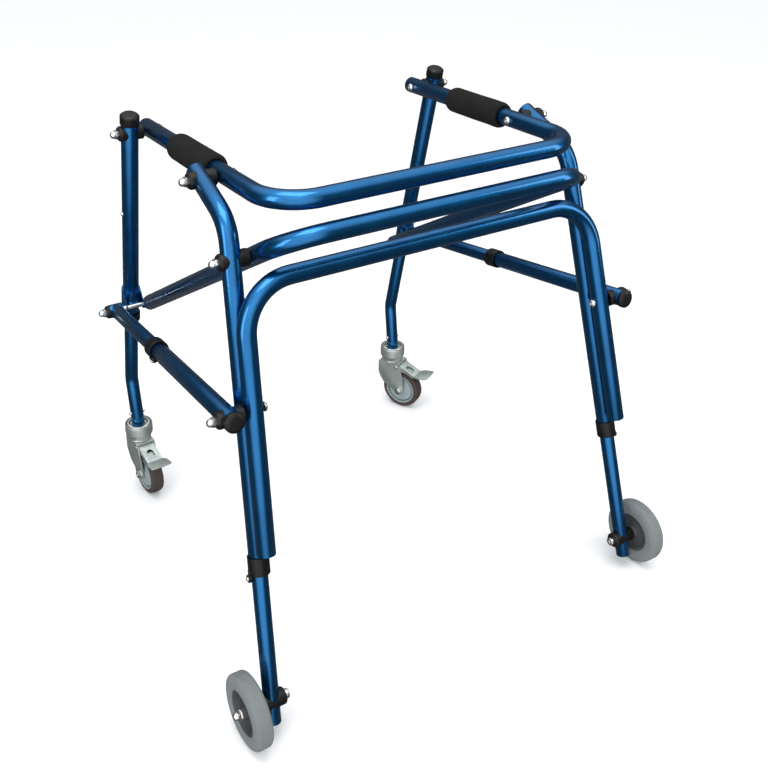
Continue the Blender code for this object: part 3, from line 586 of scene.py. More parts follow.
HANDLE_CORNER = Vector((-166, 701.6)) * MM
HANDLE_FRONT = Vector((243, 683.4)) * MM
MID_CORNER = Vector((-188, 664.8)) * MM
MID_WAY = (OPEN_PIVOT - MID_CORNER).normalized()
MID_FRONT = OPEN_PIVOT + MID_WAY * 9 * MM
tube("handle_rail_look", u_corners(RAIL_X, HANDLE_CORNER, RAIL_X, HANDLE_FRONT), "handle")
tube("mid_rail_look", u_corners(MID_RAIL_X, MID_CORNER, MID_RAIL_X, MID_FRONT), "mid")
arch = [
    on_side_tube(-1, LOWER_FOOT_Z, LOWER_OFFSET), on_side_tube(-1, LOWER_CROSSBAR_Z, LOWER_OFFSET),
    on_side_tube(1, LOWER_CROSSBAR_Z, LOWER_OFFSET), on_side_tube(1, LOWER_FOOT_Z, LOWER_OFFSET),
]
tube("lower_frame_look", arch, "frame", bend=70 * MM)

# %% [markdown]
# ### Legs and braces
#
# Each leg is an outer tube with a smaller one sliding in its mouth. The inner tubes carry on
# inside the outer ones, so that they still fill them when the leg is drawn out.

# %% Legs and braces
LAP = 60 * MM
INNER_TUBE = {"outer": INNER_R, "wall": 1.5 * MM}
for SIDE, TAG in SIDES:
    foot, up, square = rear_foot(SIDE)
    knee = on_side_tube(SIDE, SIDE_KNEE[1])
    hinge = on_side(SIDE, SIDE_TOP_X, HANDLE_PIVOT)
    top = hinge + (hinge - knee).normalized() * 17 * MM
    tube(f"side_tube_{TAG}_look", [top, knee, foot], "frame", bend=55 * MM)
    low_end = on_side_tube(SIDE, REAR_END_Z)
    tube(f"rear_extension_{TAG}_look", [low_end, foot + up * LAP], f"rear_slider_{TAG}", **INNER_TUBE)
    leg_top, leg_foot = front_leg(SIDE)
    tube(f"caster_leg_{TAG}_look", [leg_top, leg_foot], f"leg_{TAG}")
    leg_corners = [leg_foot - LEG_WAY * LAP, on_side(SIDE, LEG_X, LEG_BEND), on_side(SIDE, LEG_X, LEG_END)]
    tube(f"leg_extension_{TAG}_look", leg_corners, f"leg_slider_{TAG}", bend=45 * MM, **INNER_TUBE)
    rear, front, way, mouth, boss_way = brace_line(SIDE)
    tube(f"brace_tube_{TAG}_look", [rear - way * 20 * MM, mouth], f"brace_{TAG}")
    tube(f"brace_rod_{TAG}_look", [mouth - way * LAP, front], f"brace_slider_{TAG}", **INNER_TUBE)

# %% [markdown]
# ## Turned shapes
#
# Caps, collars, hubs and tyres are all turned: a profile swept round an axis. Sharp corners catch
# no light, so `eased` first rounds each corner of the profile. The profile is a list of radius
# and height; where the radius is nought the ring closes to a single point.

# %% Turned shapes
def eased(profile, radius, closed):
    """The profile with each corner rounded."""
    points = [Vector(point) for point in profile]
    count = len(points)
    made = []
    for index, corner in enumerate(points):
        if not closed and index in (0, count - 1):
            made.append(corner)
            continue
        before = points[index - 1] - corner
        after = points[(index + 1) % count] - corner
        reach = min(radius, before.length * 0.45, after.length * 0.45)
        start = corner + before.normalized() * reach
        end = corner + after.normalized() * reach
        for step in range(4):
            share = step / 3
            made.append(start.lerp(corner, share).lerp(corner.lerp(end, share), share))
    return made


def turned(profile, base, axis, ease=0.5 * MM, steps=64, closed=False):
    """A mesh of a profile, given as (radius, height), turned about an axis through base."""
    points = eased(profile, ease, closed)
    turn = Vector(axis).to_track_quat("Z", "Y").to_matrix().to_4x4()
    place = Matrix.Translation(base) @ turn
    shape = bmesh.new()
    rings = []
    for radius, height in points:
        count = steps if radius > 1e-6 else 1
        angles = [math.tau * step / steps for step in range(count)]
        spots = [(radius * math.cos(a), radius * math.sin(a), height) for a in angles]
        rings.append([shape.verts.new(place @ Vector(spot)) for spot in spots])
    pairs = list(zip(rings, rings[1:]))
    if closed:
        pairs.append((rings[-1], rings[0]))
    for first, second in pairs:
        for step in range(steps):
            corners = [first[step % len(first)], first[(step + 1) % steps % len(first)]]
            corners += [second[(step + 1) % steps % len(second)], second[step % len(second)]]
            unique = list(dict.fromkeys(corners))
            if len(unique) > 2:
                shape.faces.new(unique)
    bmesh.ops.recalc_face_normals(shape, faces=shape.faces)
    mesh = bpy.data.meshes.new("turned")
    shape.to_mesh(mesh)
    shape.free()
    return mesh


def round_bar(start, end, radius, steps=48, ease=0.3 * MM):
    length = (end - start).length
    return turned([(0, length), (radius, length), (radius, 0), (0, 0)], start, end - start, ease, steps)


print("an eased square has", len(eased([(0, 0), (1, 0), (1, 1), (0, 1)], 0.1, True)), "points")


# %% [markdown]
# ## Joining and cutting
#
# A saddle is a boss with a tube's hollow cut across it, so cutters are needed. `shaped` takes one
# mesh and lists of meshes to add and to take away, and returns the result as a plain mesh.

# %% Add and take away
def shaped(mesh, add=(), take=(), ease=0.0):
    holder = bpy.data.objects.new("blank", mesh)
    bpy.context.scene.collection.objects.link(holder)
    helpers = []
    for operation, others in (("UNION", add), ("DIFFERENCE", take)):
        for other in others:
            helper = bpy.data.objects.new("tool", other)
            bpy.context.scene.collection.objects.link(helper)
            helpers.append(helper)
            modifier = holder.modifiers.new(operation.lower(), "BOOLEAN")
            modifier.operation = operation
            modifier.object = helper
    if ease:
        bevel = holder.modifiers.new("ease", "BEVEL")
        bevel.width = ease
        bevel.segments = 2
        bevel.limit_method = "ANGLE"
        bevel.angle_limit = math.radians(40)
    bpy.context.view_layer.update()
    made = bpy.data.meshes.new_from_object(holder.evaluated_get(bpy.context.evaluated_depsgraph_get()))
    for helper in [holder, *helpers]:
        bpy.data.objects.remove(helper, do_unlink=True)
    return made


# %% [markdown]
# ## Saddles
#
# At every pivot a nylon saddle sits on the outer tube and a spacer fills the gap to the inner one.
# Both are one moulding here, hollowed to the tube that it rides on.

# %% Saddles on the pivots
def saddle(name, body, side, point, outer_x, inner_x, tube_way, play=0.5 * MM):
    out = Vector((side, 0, 0))
    heart = on_side(side, outer_x, point)
    inner_face = on_side(side, inner_x + TUBE_R + play, point)
    reach = (heart - inner_face).length + 18 * MM
    profile = [
        (0, reach), (9.5 * MM, reach), (11.5 * MM, reach - 3 * MM), (11.5 * MM, reach - 9 * MM),
        (11.5 * MM, 1.2 * MM), (10.4 * MM, 0), (0, 0),
    ]
    hollow = round_bar(heart - tube_way * 40 * MM, heart + tube_way * 40 * MM, SLEEVE_R - 0.3 * MM)
    mesh = shaped(turned(profile, inner_face, out, 0.8 * MM), take=[hollow])
    return fit(f"{name}_look", mesh, body, BLACK_NYLON, (name,))


SEATS = []


def pivot(name, body, side, point, outer_x, inner_x, tube_way, play=PLAY):
    """A saddle, and the seats of its nut and its bolt head."""
    saddle(name, body, side, point, outer_x, inner_x, tube_way, play)
    out = Vector((side, 0, 0))
    nut_seat = on_side(side, outer_x + 17.8 * MM, point)
    head_seat = on_side(side, inner_x - TUBE_R - play, point)
    return [("nut", body, nut_seat, out), ("head", body, head_seat, -out)]


for SIDE, TAG in SIDES:
    knee = on_side_tube(SIDE, SIDE_KNEE[1])
    rise = (on_side(SIDE, SIDE_TOP_X, HANDLE_PIVOT) - knee).normalized()
    upright = rear_foot(SIDE)[1]
    brace_way = brace_line(SIDE)[2]
    mid_x = splayed_x(MID_PIVOT[1])
    brace_x = splayed_x(BRACE_PIVOT[1])
    leg, brace = f"leg_{TAG}", f"brace_{TAG}"
    SEATS += pivot(f"leg_pivot_{TAG}", leg, SIDE, LEG_PIVOT, LEG_X, RAIL_X, LEG_WAY)
    SEATS += pivot(f"handle_pivot_{TAG}", "frame", SIDE, HANDLE_PIVOT, SIDE_TOP_X, RAIL_X, rise)
    SEATS += pivot(f"mid_pivot_{TAG}", "frame", SIDE, MID_PIVOT, mid_x, MID_RAIL_X, upright)
    SEATS += pivot(
        f"brace_pivot_{TAG}", brace, SIDE, BRACE_PIVOT, BRACE_X_REAR, brace_x, brace_way, BRACE_PLAY
    )

# %% [markdown]
# ## End caps and collars
#
# A cap closes the top of each front leg and the rear end of each brace. Collars close the mouths
# of the outer tubes round the sliding ones, and two of them carry a boss for a spring button.

# %% Collars
def collar_mesh(end, way, height, outer_r, boss_way=None, boss_drop=0.0):
    skirt = height * 0.5
    bore = INNER_R + 0.25 * MM
    profile = [
        (outer_r, skirt), (outer_r, skirt - height), (bore, skirt - height), (bore, -1 * MM),
        (SLEEVE_R - 0.4 * MM, -1 * MM), (SLEEVE_R - 0.4 * MM, skirt),
    ]
    ring = turned(profile, end, way, 0.9 * MM, closed=True)
    if boss_way is None:
        return ring
    heart = end - way * boss_drop
    base_r = TUBE_R if boss_drop < 0 else INNER_R + 0.6 * MM
    back = way if boss_drop > 0 else -way
    boss = round_bar(heart + boss_way * base_r, heart + boss_way * 17 * MM, 5.5 * MM, 32, 0.8 * MM)
    middle = heart + boss_way * (base_r + 2.1 * MM)
    lug = round_bar(middle, middle + back * 12 * MM, 2.4 * MM, 24)
    hole = round_bar(heart + boss_way * 12 * MM, heart + boss_way * 20 * MM, 3.6 * MM, 32)
    return shaped(ring, add=[boss, lug], take=[hole])


def black(name, mesh, body, stands_for=()):
    return fit(name, mesh, body, BLACK_NYLON, stands_for)


LEG_CAP = [
    (0, 4 * MM), (10.5 * MM, 4 * MM), (14.2 * MM, 1 * MM), (14.2 * MM, -12 * MM),
    (TUBE_R + 0.1 * MM, -12 * MM), (TUBE_R + 0.1 * MM, 0.3 * MM), (0, 0.3 * MM),
]
BRACE_CAP = [
    (0, 3 * MM), (9 * MM, 2.5 * MM), (13.6 * MM, 0), (13.6 * MM, -6 * MM), (TUBE_R, -6 * MM),
    (TUBE_R, -1 * MM), (0, -1 * MM),
]
WASHER = [
    (0, 17 * MM), (8.5 * MM, 17 * MM), (10.5 * MM, 15 * MM), (10.5 * MM, 9 * MM), (9 * MM, 6 * MM),
    (0, 6 * MM),
]
for SIDE, TAG in SIDES:
    out = Vector((SIDE, 0, 0))
    foot, up, square = rear_foot(SIDE)
    mesh = collar_mesh(foot, up, 25 * MM, 14.6 * MM, square, 16 * MM)
    black(f"rear_collar_{TAG}_look", mesh, "frame", (f"rear_collar_{TAG}",))
    leg_top, leg_foot = front_leg(SIDE)
    mesh = collar_mesh(leg_foot, -LEG_WAY, 15 * MM, 14.8 * MM)
    black(f"leg_collar_{TAG}_look", mesh, f"leg_{TAG}", (f"leg_collar_{TAG}",))
    mesh = turned(LEG_CAP, leg_top, -LEG_WAY, 1.2 * MM)
    black(f"leg_cap_{TAG}_look", mesh, f"leg_{TAG}", (f"leg_cap_{TAG}",))
    rear, front, way, mouth, boss_way = brace_line(SIDE)
    mesh = collar_mesh(mouth, -way, 22 * MM, 15.4 * MM, boss_way, -14 * MM)
    black(f"brace_collar_{TAG}_look", mesh, f"brace_{TAG}", (f"brace_collar_{TAG}",))
    black(f"brace_cap_{TAG}", turned(BRACE_CAP, rear - way * 20 * MM, -way, 1.0 * MM), f"brace_{TAG}")
    black(f"brace_washer_{TAG}", turned(WASHER, front, out, 0.8 * MM), f"brace_slider_{TAG}")
    half = out * (INNER_R - 0.2 * MM)
    knuckle = round_bar(front - half, front + half, INNER_R - 0.05 * MM, 48, 1.2 * MM)
    fit(f"brace_knuckle_{TAG}", knuckle, f"brace_slider_{TAG}", BLUE_STRAP)
    SEATS.append(("nut", f"brace_slider_{TAG}", front + out * 17 * MM, out))

# %% [markdown]
# ## Spring buttons
#
# A domed steel pin stands out of each boss and out of each front leg. Pressing it frees the
# sliding tube.

# %% Buttons
def button(name, centre, way, surface_r, stem):
    top = surface_r + 2.6 * MM
    low = top - 2.6 * MM - stem
    profile = [(0, top), (2.2 * MM, top - 0.4 * MM), (3.2 * MM, top - 1.6 * MM), (3.2 * MM, low), (0, low)]
    mesh = turned(profile, centre, way, 0.5 * MM, 32)
    return fit(f"{name}_look", mesh, name, STEEL, (name,))


for SIDE, TAG in SIDES:
    foot, up, square = rear_foot(SIDE)
    button(f"rear_button_{TAG}", foot - up * 16 * MM, square, 17 * MM, 2.6 * MM)
    leg_place = front_leg(SIDE)[0] + LEG_WAY * 165 * MM
    button(f"leg_button_{TAG}", leg_place, Vector((SIDE, 0, 0)), TUBE_R, 2.6 * MM)
    rear, front, way, mouth, boss_way = brace_line(SIDE)
    button(f"brace_button_{TAG}", mouth - way * 14 * MM, boss_way, 17 * MM, 1.6 * MM)

# %% [markdown]
# ## Brackets on the front legs
#
# A pressed strap wraps each front leg. Its two ears reach back to a plain steel rod, the spacer
# that the mid rail and the brace turn on.

# %% Pressed plates
def plate(outline, thickness, place):
    """A flat plate from its outline, lying in the XY plane of a matrix."""
    shape = bmesh.new()
    low = [shape.verts.new((x, y, -thickness / 2)) for x, y in outline]
    high = [shape.verts.new((x, y, thickness / 2)) for x, y in outline]
    shape.faces.new(low)
    shape.faces.new(high)
    for index in range(len(outline)):
        after = (index + 1) % len(outline)
        shape.faces.new([low[index], low[after], high[after], high[index]])
    bmesh.ops.recalc_face_normals(shape, faces=shape.faces)
    shape.transform(place)
    bmesh.ops.recalc_face_normals(shape, faces=shape.faces)
    mesh = bpy.data.meshes.new("plate")
    shape.to_mesh(mesh)
    shape.free()
    return mesh


def arc(centre, radius, start, end, steps):
    angles = [math.radians(start + (end - start) * step / steps) for step in range(steps + 1)]
    return [(centre[0] + radius * math.cos(a), centre[1] + radius * math.sin(a)) for a in angles]


# %% Bracket, rod and cross bolt
BAND_HALF = 15 * MM
BAND_R = SLEEVE_R + 1.9 * MM
SKIN_R = TUBE_R + 0.15 * MM
for SIDE, TAG in SIDES:
    leg_foot = front_leg(SIDE)[1]
    middle = leg_foot - LEG_WAY * 41 * MM
    section = [(SKIN_R, BAND_HALF), (BAND_R, BAND_HALF), (BAND_R, -BAND_HALF), (SKIN_R, -BAND_HALF)]
    band = turned(section, middle, -LEG_WAY, 0.4 * MM, closed=True)
    heart = Vector(middle[1:])
    down = Vector(LEG_WAY[1:])
    ear = [tuple(heart - down * (BAND_HALF - 0.6 * MM)), tuple(heart + down * 6 * MM)]
    ear += arc(OPEN_PIVOT, 7.3 * MM, -60, -190, 14)
    ears = []
    for place in (-1, 1):
        x = SIDE * LEG_X + place * (BAND_R - 1 * MM)
        stand = Matrix(((0, 0, 1, x), (1, 0, 0, 0), (0, 1, 0, 0), (0, 0, 0, 1)))
        ears.append(plate(ear, 1.9 * MM, stand))
    room = round_bar(leg_foot - LEG_WAY * 100 * MM, leg_foot, SKIN_R)
    mesh = shaped(band, add=ears, take=[room])
    fit(f"leg_bracket_{TAG}_look", mesh, f"leg_{TAG}", BLUE_STRAP, (f"leg_bracket_{TAG}",))
    rod_in = on_side(SIDE, MID_RAIL_X + TUBE_R + 0.6 * MM, OPEN_PIVOT)
    rod_out = on_side(SIDE, BRACE_X_FRONT - INNER_R - 0.6 * MM, OPEN_PIVOT)
    fit(f"spacer_rod_{TAG}", round_bar(rod_in, rod_out, 4.2 * MM, 32), f"leg_{TAG}", STEEL)
    bolt = LEG_END + (LEG_BEND - LEG_END) * (3.5 * MM / (LEG_BEND[0] - LEG_END[0]))
    for place in (-1, 1):
        spot = on_side(1, SIDE * LEG_X + place * 10.6 * MM, bolt)
        SEATS.append(("bolt", f"leg_slider_{TAG}", spot, Vector((place, 0, 0))))

# %% [markdown]
# ## Rear wheels
#
# A fixed wheel turns on a bolt at the foot of each rear leg. The tyre is a flat tread with round
# shoulders. The centre is dished deeply on the outside, so that the nut sits inside the wheel's
# width, and a flanged bushing carries the bolt through the leg.

# %% Rear wheels
WHEEL_R = 52 * MM
HALF_WIDTH = 12.8 * MM
HUB_R = 31 * MM
for SIDE, TAG in SIDES:
    centre = joint_place(f"rear_spin_{TAG}")
    out = Vector((SIDE, 0, 0))
    shoulder = [
        (HUB_R, HALF_WIDTH - 2.4 * MM), (HUB_R + 3 * MM, HALF_WIDTH - 0.4 * MM),
        (WHEEL_R - 8 * MM, HALF_WIDTH), (WHEEL_R - 1.6 * MM, HALF_WIDTH - 2.6 * MM),
        (WHEEL_R, HALF_WIDTH - 5.2 * MM), (WHEEL_R, 0),
    ]
    profile = shoulder + [(radius, -height) for radius, height in reversed(shoulder[:-1])]
    mesh = turned(profile, centre, out, 1.8 * MM, 96, closed=True)
    fit(f"rear_tyre_{TAG}_look", mesh, f"rear_wheel_{TAG}", GREY_RUBBER, (f"rear_tyre_{TAG}",))
    dish = [
        (4.3 * MM, 11.8 * MM), (7.5 * MM, 11.8 * MM), (9.2 * MM, 10.5 * MM), (10 * MM, 4.5 * MM),
        (24 * MM, 3.2 * MM), (27.6 * MM, 10.2 * MM), (HUB_R, 10.6 * MM), (HUB_R, -10.6 * MM),
        (27.6 * MM, -10.2 * MM), (24.5 * MM, -6 * MM), (11 * MM, -7 * MM), (9.2 * MM, -11.8 * MM),
        (4.3 * MM, -11.8 * MM),
    ]
    mesh = turned(dish, centre, out, 1.2 * MM, 72, closed=True)
    fit(f"rear_hub_{TAG}_look", mesh, f"rear_wheel_{TAG}", DARK_CENTRE, (f"rear_hub_{TAG}",))

# %% Axles and bushings
for SIDE, TAG in SIDES:
    centre = joint_place(f"rear_spin_{TAG}")
    leg = on_side_tube(SIDE, WHEEL_R)
    out = Vector((SIDE, 0, 0))
    body = f"rear_slider_{TAG}"
    base = leg - out * 20 * MM
    nut = (centre.x - base.x) * SIDE + HALF_WIDTH - 0.7 * MM
    washer_top = nut + 0.9 * MM
    axle = [(0, washer_top), (9 * MM, washer_top), (9 * MM, nut), (4 * MM, nut), (4 * MM, 0), (0, 0)]
    mesh = turned(axle, base, out, 0.3 * MM, 48)
    fit(f"rear_axle_{TAG}_look", mesh, body, STEEL, (f"rear_axle_{TAG}",))
    SEATS.append(("nut", body, base + out * nut, out))
    SEATS.append(("socket", body, base, -out))
    face = nut - 2 * HALF_WIDTH + 1.1 * MM
    flange = [
        (0, face), (10 * MM, face), (12 * MM, face - 2 * MM), (12 * MM, 2.6 * MM),
        (10 * MM, 0.3 * MM), (0, 0.3 * MM),
    ]
    up = (on_side_tube(SIDE, SIDE_FOOT_Z) - leg).normalized()
    room = round_bar(leg - up * 30 * MM, leg + up * 30 * MM, INNER_R + 0.2 * MM)
    mesh = shaped(turned(flange, base, out, 0.8 * MM), take=[room])
    black(f"rear_bushing_{TAG}_look", mesh, body, (f"rear_bushing_{TAG}",))

# %% [markdown]
# ## Casters
#
# Each front leg ends in a braked swivel caster. A pressed cup holds the leg and the ball race,
# and a folded fork holds the wheel behind the swivel axis, which is what makes it trail. The
# pieces are drawn about the swivel axis with U pointing to the trailing side, and one matrix
# turns them to the heading that each caster stands at.

# %% Caster placing
CASTER_R = 39.5 * MM
TRAIL = 27 * MM
CROWN_Z = 99 * MM
FORK_HALF = 14.5 * MM
FORK_WALL = 2.5 * MM
UPRIGHT = Matrix(((1, 0, 0, 0), (0, 0, -1, 0), (0, 1, 0, 0), (0, 0, 0, 1)))


def caster_frame(tag):
    swivel = joint_place(f"caster_swivel_{tag}")
    axle = joint_place(f"caster_spin_{tag}")
    heading = math.atan2(axle.y - swivel.y, axle.x - swivel.x)
    return Matrix.Translation((swivel.x, swivel.y, 0)) @ Matrix.Rotation(heading, 4, "Z")


def placed(mesh, place):
    mesh.transform(place)
    return mesh


for SIDE, TAG in SIDES:
    trail = (joint_place(f"caster_spin_{TAG}") - joint_place(f"caster_swivel_{TAG}")).xy.length
    print(TAG, "caster trails", round(trail, 4), "m")


# %% Cup, fork and axle
def fork_outline():
    axle = (TRAIL, CASTER_R)
    return [
        (24 * MM, CROWN_Z), (-19 * MM, CROWN_Z), (-22 * MM, CROWN_Z - 4 * MM),
        (-21.5 * MM, CROWN_Z - 16 * MM),
        *arc((TRAIL + 1 * MM, CASTER_R + 46 * MM), 51 * MM, 193, 224, 6),
        *arc(axle, 9.5 * MM, 205, 372, 16), (33 * MM, CROWN_Z - 30 * MM), (31 * MM, CROWN_Z - 22 * MM),
    ]


def caster_cup():
    top = 130 * MM
    base = CROWN_Z + 3.5 * MM
    profile = [
        (0, top - 6 * MM), (11.4 * MM, top - 6 * MM), (11.4 * MM, top - 3 * MM), (15.4 * MM, top - 3 * MM),
        (16 * MM, top - 9 * MM), (21.4 * MM, top - 9 * MM), (21.8 * MM, top - 1 * MM),
        (23.4 * MM, top - 0.6 * MM), (24 * MM, top - 4 * MM), (24 * MM, base + 9 * MM),
        (21 * MM, base + 3 * MM), (20.6 * MM, base), (0, base),
    ]
    return turned(profile, Vector((0, 0, 0)), (0, 0, 1), 0.8 * MM, 72)


def caster_fork():
    cheeks = []
    for place in (-1, 1):
        shift = Matrix.Translation((0, place * (FORK_HALF + FORK_WALL / 2), 0))
        cheeks.append(plate(fork_outline(), FORK_WALL, shift @ UPRIGHT))
    wide = FORK_HALF + FORK_WALL
    crown = [(-19, -wide / MM), (24, -wide / MM), (24, wide / MM), (-19, wide / MM)]
    lid = plate([(x * MM, y * MM) for x, y in crown], 3 * MM, Matrix.Translation((0, 0, CROWN_Z - 1.5 * MM)))
    step = [(0, 3.2 * MM), (17 * MM, 3.2 * MM), (19 * MM, 0), (19 * MM, -1 * MM), (0, -1 * MM)]
    race = turned(step, Vector((0, 0, CROWN_Z)), (0, 0, 1), 0.5 * MM)
    return shaped(cheeks[0], add=[cheeks[1], lid, race], ease=0.5 * MM)


for SIDE, TAG in SIDES:
    stand = caster_frame(TAG)
    head = placed(caster_cup(), stand)
    fit(f"caster_head_{TAG}_look", head, f"leg_slider_{TAG}", ZINC, (f"caster_head_{TAG}",))
    ring = [(16.4 * MM, 130 * MM), (20.4 * MM, 129.6 * MM), (20.4 * MM, 124 * MM), (16.4 * MM, 124 * MM)]
    race = placed(turned(ring, Vector((0, 0, 0)), (0, 0, 1), 0.9 * MM, 72, closed=True), stand)
    fit(f"caster_race_{TAG}", race, f"leg_slider_{TAG}", STEEL)
    fork = placed(caster_fork(), stand)
    fit(f"caster_fork_{TAG}_look", fork, f"caster_{TAG}", ZINC, (f"caster_fork_{TAG}",))
    reach = FORK_HALF + FORK_WALL
    ends = [Vector((TRAIL, place * reach, CASTER_R)) for place in (-1, 1)]
    pin = placed(round_bar(*ends, 4 * MM, 32), stand)
    fit(f"caster_axle_{TAG}", pin, f"caster_{TAG}", STEEL)
    for place in (-1, 1):
        spot = stand @ Vector((TRAIL, place * reach, CASTER_R))
        rivet = stand @ Vector((18 * MM, place * (reach - 0.2 * MM), 91 * MM))
        way = (stand.to_3x3() @ Vector((0, place, 0))).normalized()
        SEATS.append(("hex", f"caster_{TAG}", spot, way))
        SEATS.append(("rivet", f"caster_{TAG}", rivet, way))

# %% [markdown]
# ### Caster wheel
#
# A rubber band on a moulded centre. A dark groove and a thin light rim show between them on each
# side. The centre is a shallow dish with a boss at the axle.

# %% Caster wheels
def mirrored(half_profile):
    """A profile and its mirror image below, as one ring."""
    return half_profile + [(radius, -height) for radius, height in reversed(half_profile)]


def caster_wheel(tag, stand):
    centre = Vector((TRAIL, 0, CASTER_R))
    half = 12 * MM
    rim = CASTER_R - 9 * MM
    body = f"caster_wheel_{tag}"
    edge = [
        (rim, half - 1.4 * MM), (CASTER_R - 5 * MM, half), (CASTER_R - 1.2 * MM, half - 2 * MM),
        (CASTER_R, half - 6 * MM),
    ]
    tyre = placed(turned(mirrored(edge), centre, (0, 1, 0), 1.2 * MM, 96, closed=True), stand)
    fit(f"caster_tyre_{tag}_look", tyre, body, BROWN_RUBBER, (f"caster_tyre_{tag}",))
    face = [
        (4.3 * MM, half), (7.5 * MM, half), (9 * MM, half - 2.6 * MM), (21 * MM, half - 4.4 * MM),
        (25 * MM, half - 2.6 * MM), (25.4 * MM, half - 8 * MM), (27.6 * MM, half - 8 * MM),
        (28 * MM, half - 1.0 * MM), (rim, half - 0.4 * MM),
    ]
    middle = placed(turned(mirrored(face), centre, (0, 1, 0), 0.5 * MM, 72, closed=True), stand)
    fit(f"caster_wheel_{tag}_look", middle, body, GREY_CENTRE, (body,))


for SIDE, TAG in SIDES:
    caster_wheel(TAG, caster_frame(TAG))

# %% [markdown]
# ### Foot brake
#
# The brake is the most worked piece: a folded channel between the cheeks, with a window in its
# back, a shoe under it that comes down on the tyre, and a flared tread for the foot.

# %% Brakes
def side_solid(outline, width):
    return plate([(u * MM, z * MM) for u, z in outline], width, UPRIGHT)


def brake_lever():
    outer = 2 * (FORK_HALF - 0.3 * MM)
    fold = [(13, 94.5), (24, 94.5), (29, 93.6), (58, 80.5)]
    skirt = [(58, 76.6), (54, 75.8), (40, 81), (24, 83), (13, 86)]
    channel = side_solid(fold + skirt, outer)
    hollow = side_solid([(10, 92.3), (27, 92.3), (62, 76.5), (62, 60), (10, 60)], outer - 3.6 * MM)
    slope = math.atan2(14, 31)
    window_outline = arc((-2.5 * MM, 0), 6 * MM, 90, 270, 10) + arc((2.5 * MM, 0), 6 * MM, -90, 90, 10)
    on_slope = Matrix.Translation((43 * MM, 0, 87 * MM)) @ Matrix.Rotation(slope, 4, "Y")
    window = plate(window_outline, 9 * MM, on_slope)
    shoe = side_solid([(37, 86), (50, 81.4), (50, 78.3), (44, 80), (38, 82.2)], 17 * MM)
    bar = side_solid([(40, 84.8), (47, 82.2), (47, 80), (40, 82.4)], outer - 1 * MM)
    tread = [(-3, -13), (3, -15), (7, -18.6), (27, -19), (30, -16)]
    tread += [(31, 0)] + [(along, -across) for along, across in reversed(tread)]
    tilt = Matrix.Translation((57.5 * MM, 0, 79.6 * MM)) @ Matrix.Rotation(math.radians(-12), 4, "Y")
    pad = plate([(s * MM, y * MM) for s, y in tread], 2 * MM, tilt)
    return shaped(shaped(channel, take=[hollow, window]), add=[shoe, bar, pad], ease=0.4 * MM)


for SIDE, TAG in SIDES:
    lever = placed(brake_lever(), caster_frame(TAG))
    name = f"caster_brake_{TAG}"
    fit(f"{name}_look", lever, name, ZINC, (name,))

# %% [markdown]
# ## Nuts, bolt heads and rivets
#
# The same fasteners come again and again, so one mesh of each kind is made and Geometry Nodes
# set it at every seat. A seat is a point with a direction. The random turn about that direction
# has a fixed seed: real nuts never stop at the same angle. Each body gets its own mesh.

# %% One of each fastener
def hexagon(across, height, place):
    outline = arc((0, 0), across / math.sqrt(3), 0, 300, 5)
    return plate(outline, height, Matrix.Translation((0, 0, place + height / 2)))


ORIGIN = Vector((0, 0, 0))
UP = Vector((0, 0, 1))


def small_turned(profile, ease, steps=36):
    """A small turned shape standing on the origin, from a profile in millimetres."""
    sized = [(radius * MM, height * MM) for radius, height in profile]
    return turned(sized, ORIGIN, UP, ease * MM, steps)


def cap_nut():
    limit = small_turned([(0, 5.4), (5.6, 5.4), (7, 4.4), (7, 0), (0, 0)], 0.2)
    dome = small_turned([(0, 12), (3, 11.4), (5, 9.2), (5.6, 6.4), (5.6, 4), (0, 4)], 1.0)
    return meet(shaped(hexagon(12.1 * MM, 5.4 * MM, 0), ease=0.2 * MM), limit, dome)


def meet(body, limit, extra):
    """The part of a hexagon inside a turned limit, with something joined on top."""
    first = bpy.data.objects.new("blank", body)
    second = bpy.data.objects.new("limit", limit)
    for holder in (first, second):
        bpy.context.scene.collection.objects.link(holder)
    modifier = first.modifiers.new("inside", "BOOLEAN")
    modifier.operation = "INTERSECT"
    modifier.object = second
    bpy.context.view_layer.update()
    made = bpy.data.meshes.new_from_object(first.evaluated_get(bpy.context.evaluated_depsgraph_get()))
    for holder in (first, second):
        bpy.data.objects.remove(holder, do_unlink=True)
    return shaped(made, add=[extra])


def button_head():
    head = small_turned([(0, 4.4), (4, 4.0), (6.2, 2), (6.5, 0.4), (6.5, 0), (0, 0)], 0.4)
    return shaped(head, take=[hexagon(4 * MM, 4 * MM, 2 * MM)])


def socket_cap():
    head = small_turned([(0, 5.5), (5.6, 5.5), (6.5, 4.6), (6.5, 0), (0, 0)], 0.4)
    return shaped(head, take=[hexagon(5.5 * MM, 5 * MM, 2.5 * MM)])


def hex_head():
    limit = small_turned([(0, 6), (5, 6), (6.5, 5), (6.5, 0), (0, 0)], 0.2)
    return meet(hexagon(11.4 * MM, 6 * MM, 0), limit, round_bar(ORIGIN, UP * 7 * MM, 2.4 * MM, 24))


def rivet_head():
    return small_turned([(0, 1.7), (1.7, 1.5), (2.9, 0.7), (3.2, 0), (0, 0)], 0.4, 24)


def bolt_end():
    return small_turned([(0, 3.4), (2, 3.2), (3.2, 2.2), (3.4, 0), (0, 0)], 0.5, 24)


MAKERS = {
    "bolt": bolt_end, "nut": cap_nut, "head": button_head, "socket": socket_cap, "hex": hex_head,
    "rivet": rivet_head,
}
FASTENERS = {}
for kind, maker in MAKERS.items():
    FASTENERS[kind] = maker()
    smooth(FASTENERS[kind])
    print(kind, "has", len(FASTENERS[kind].polygons), "faces")


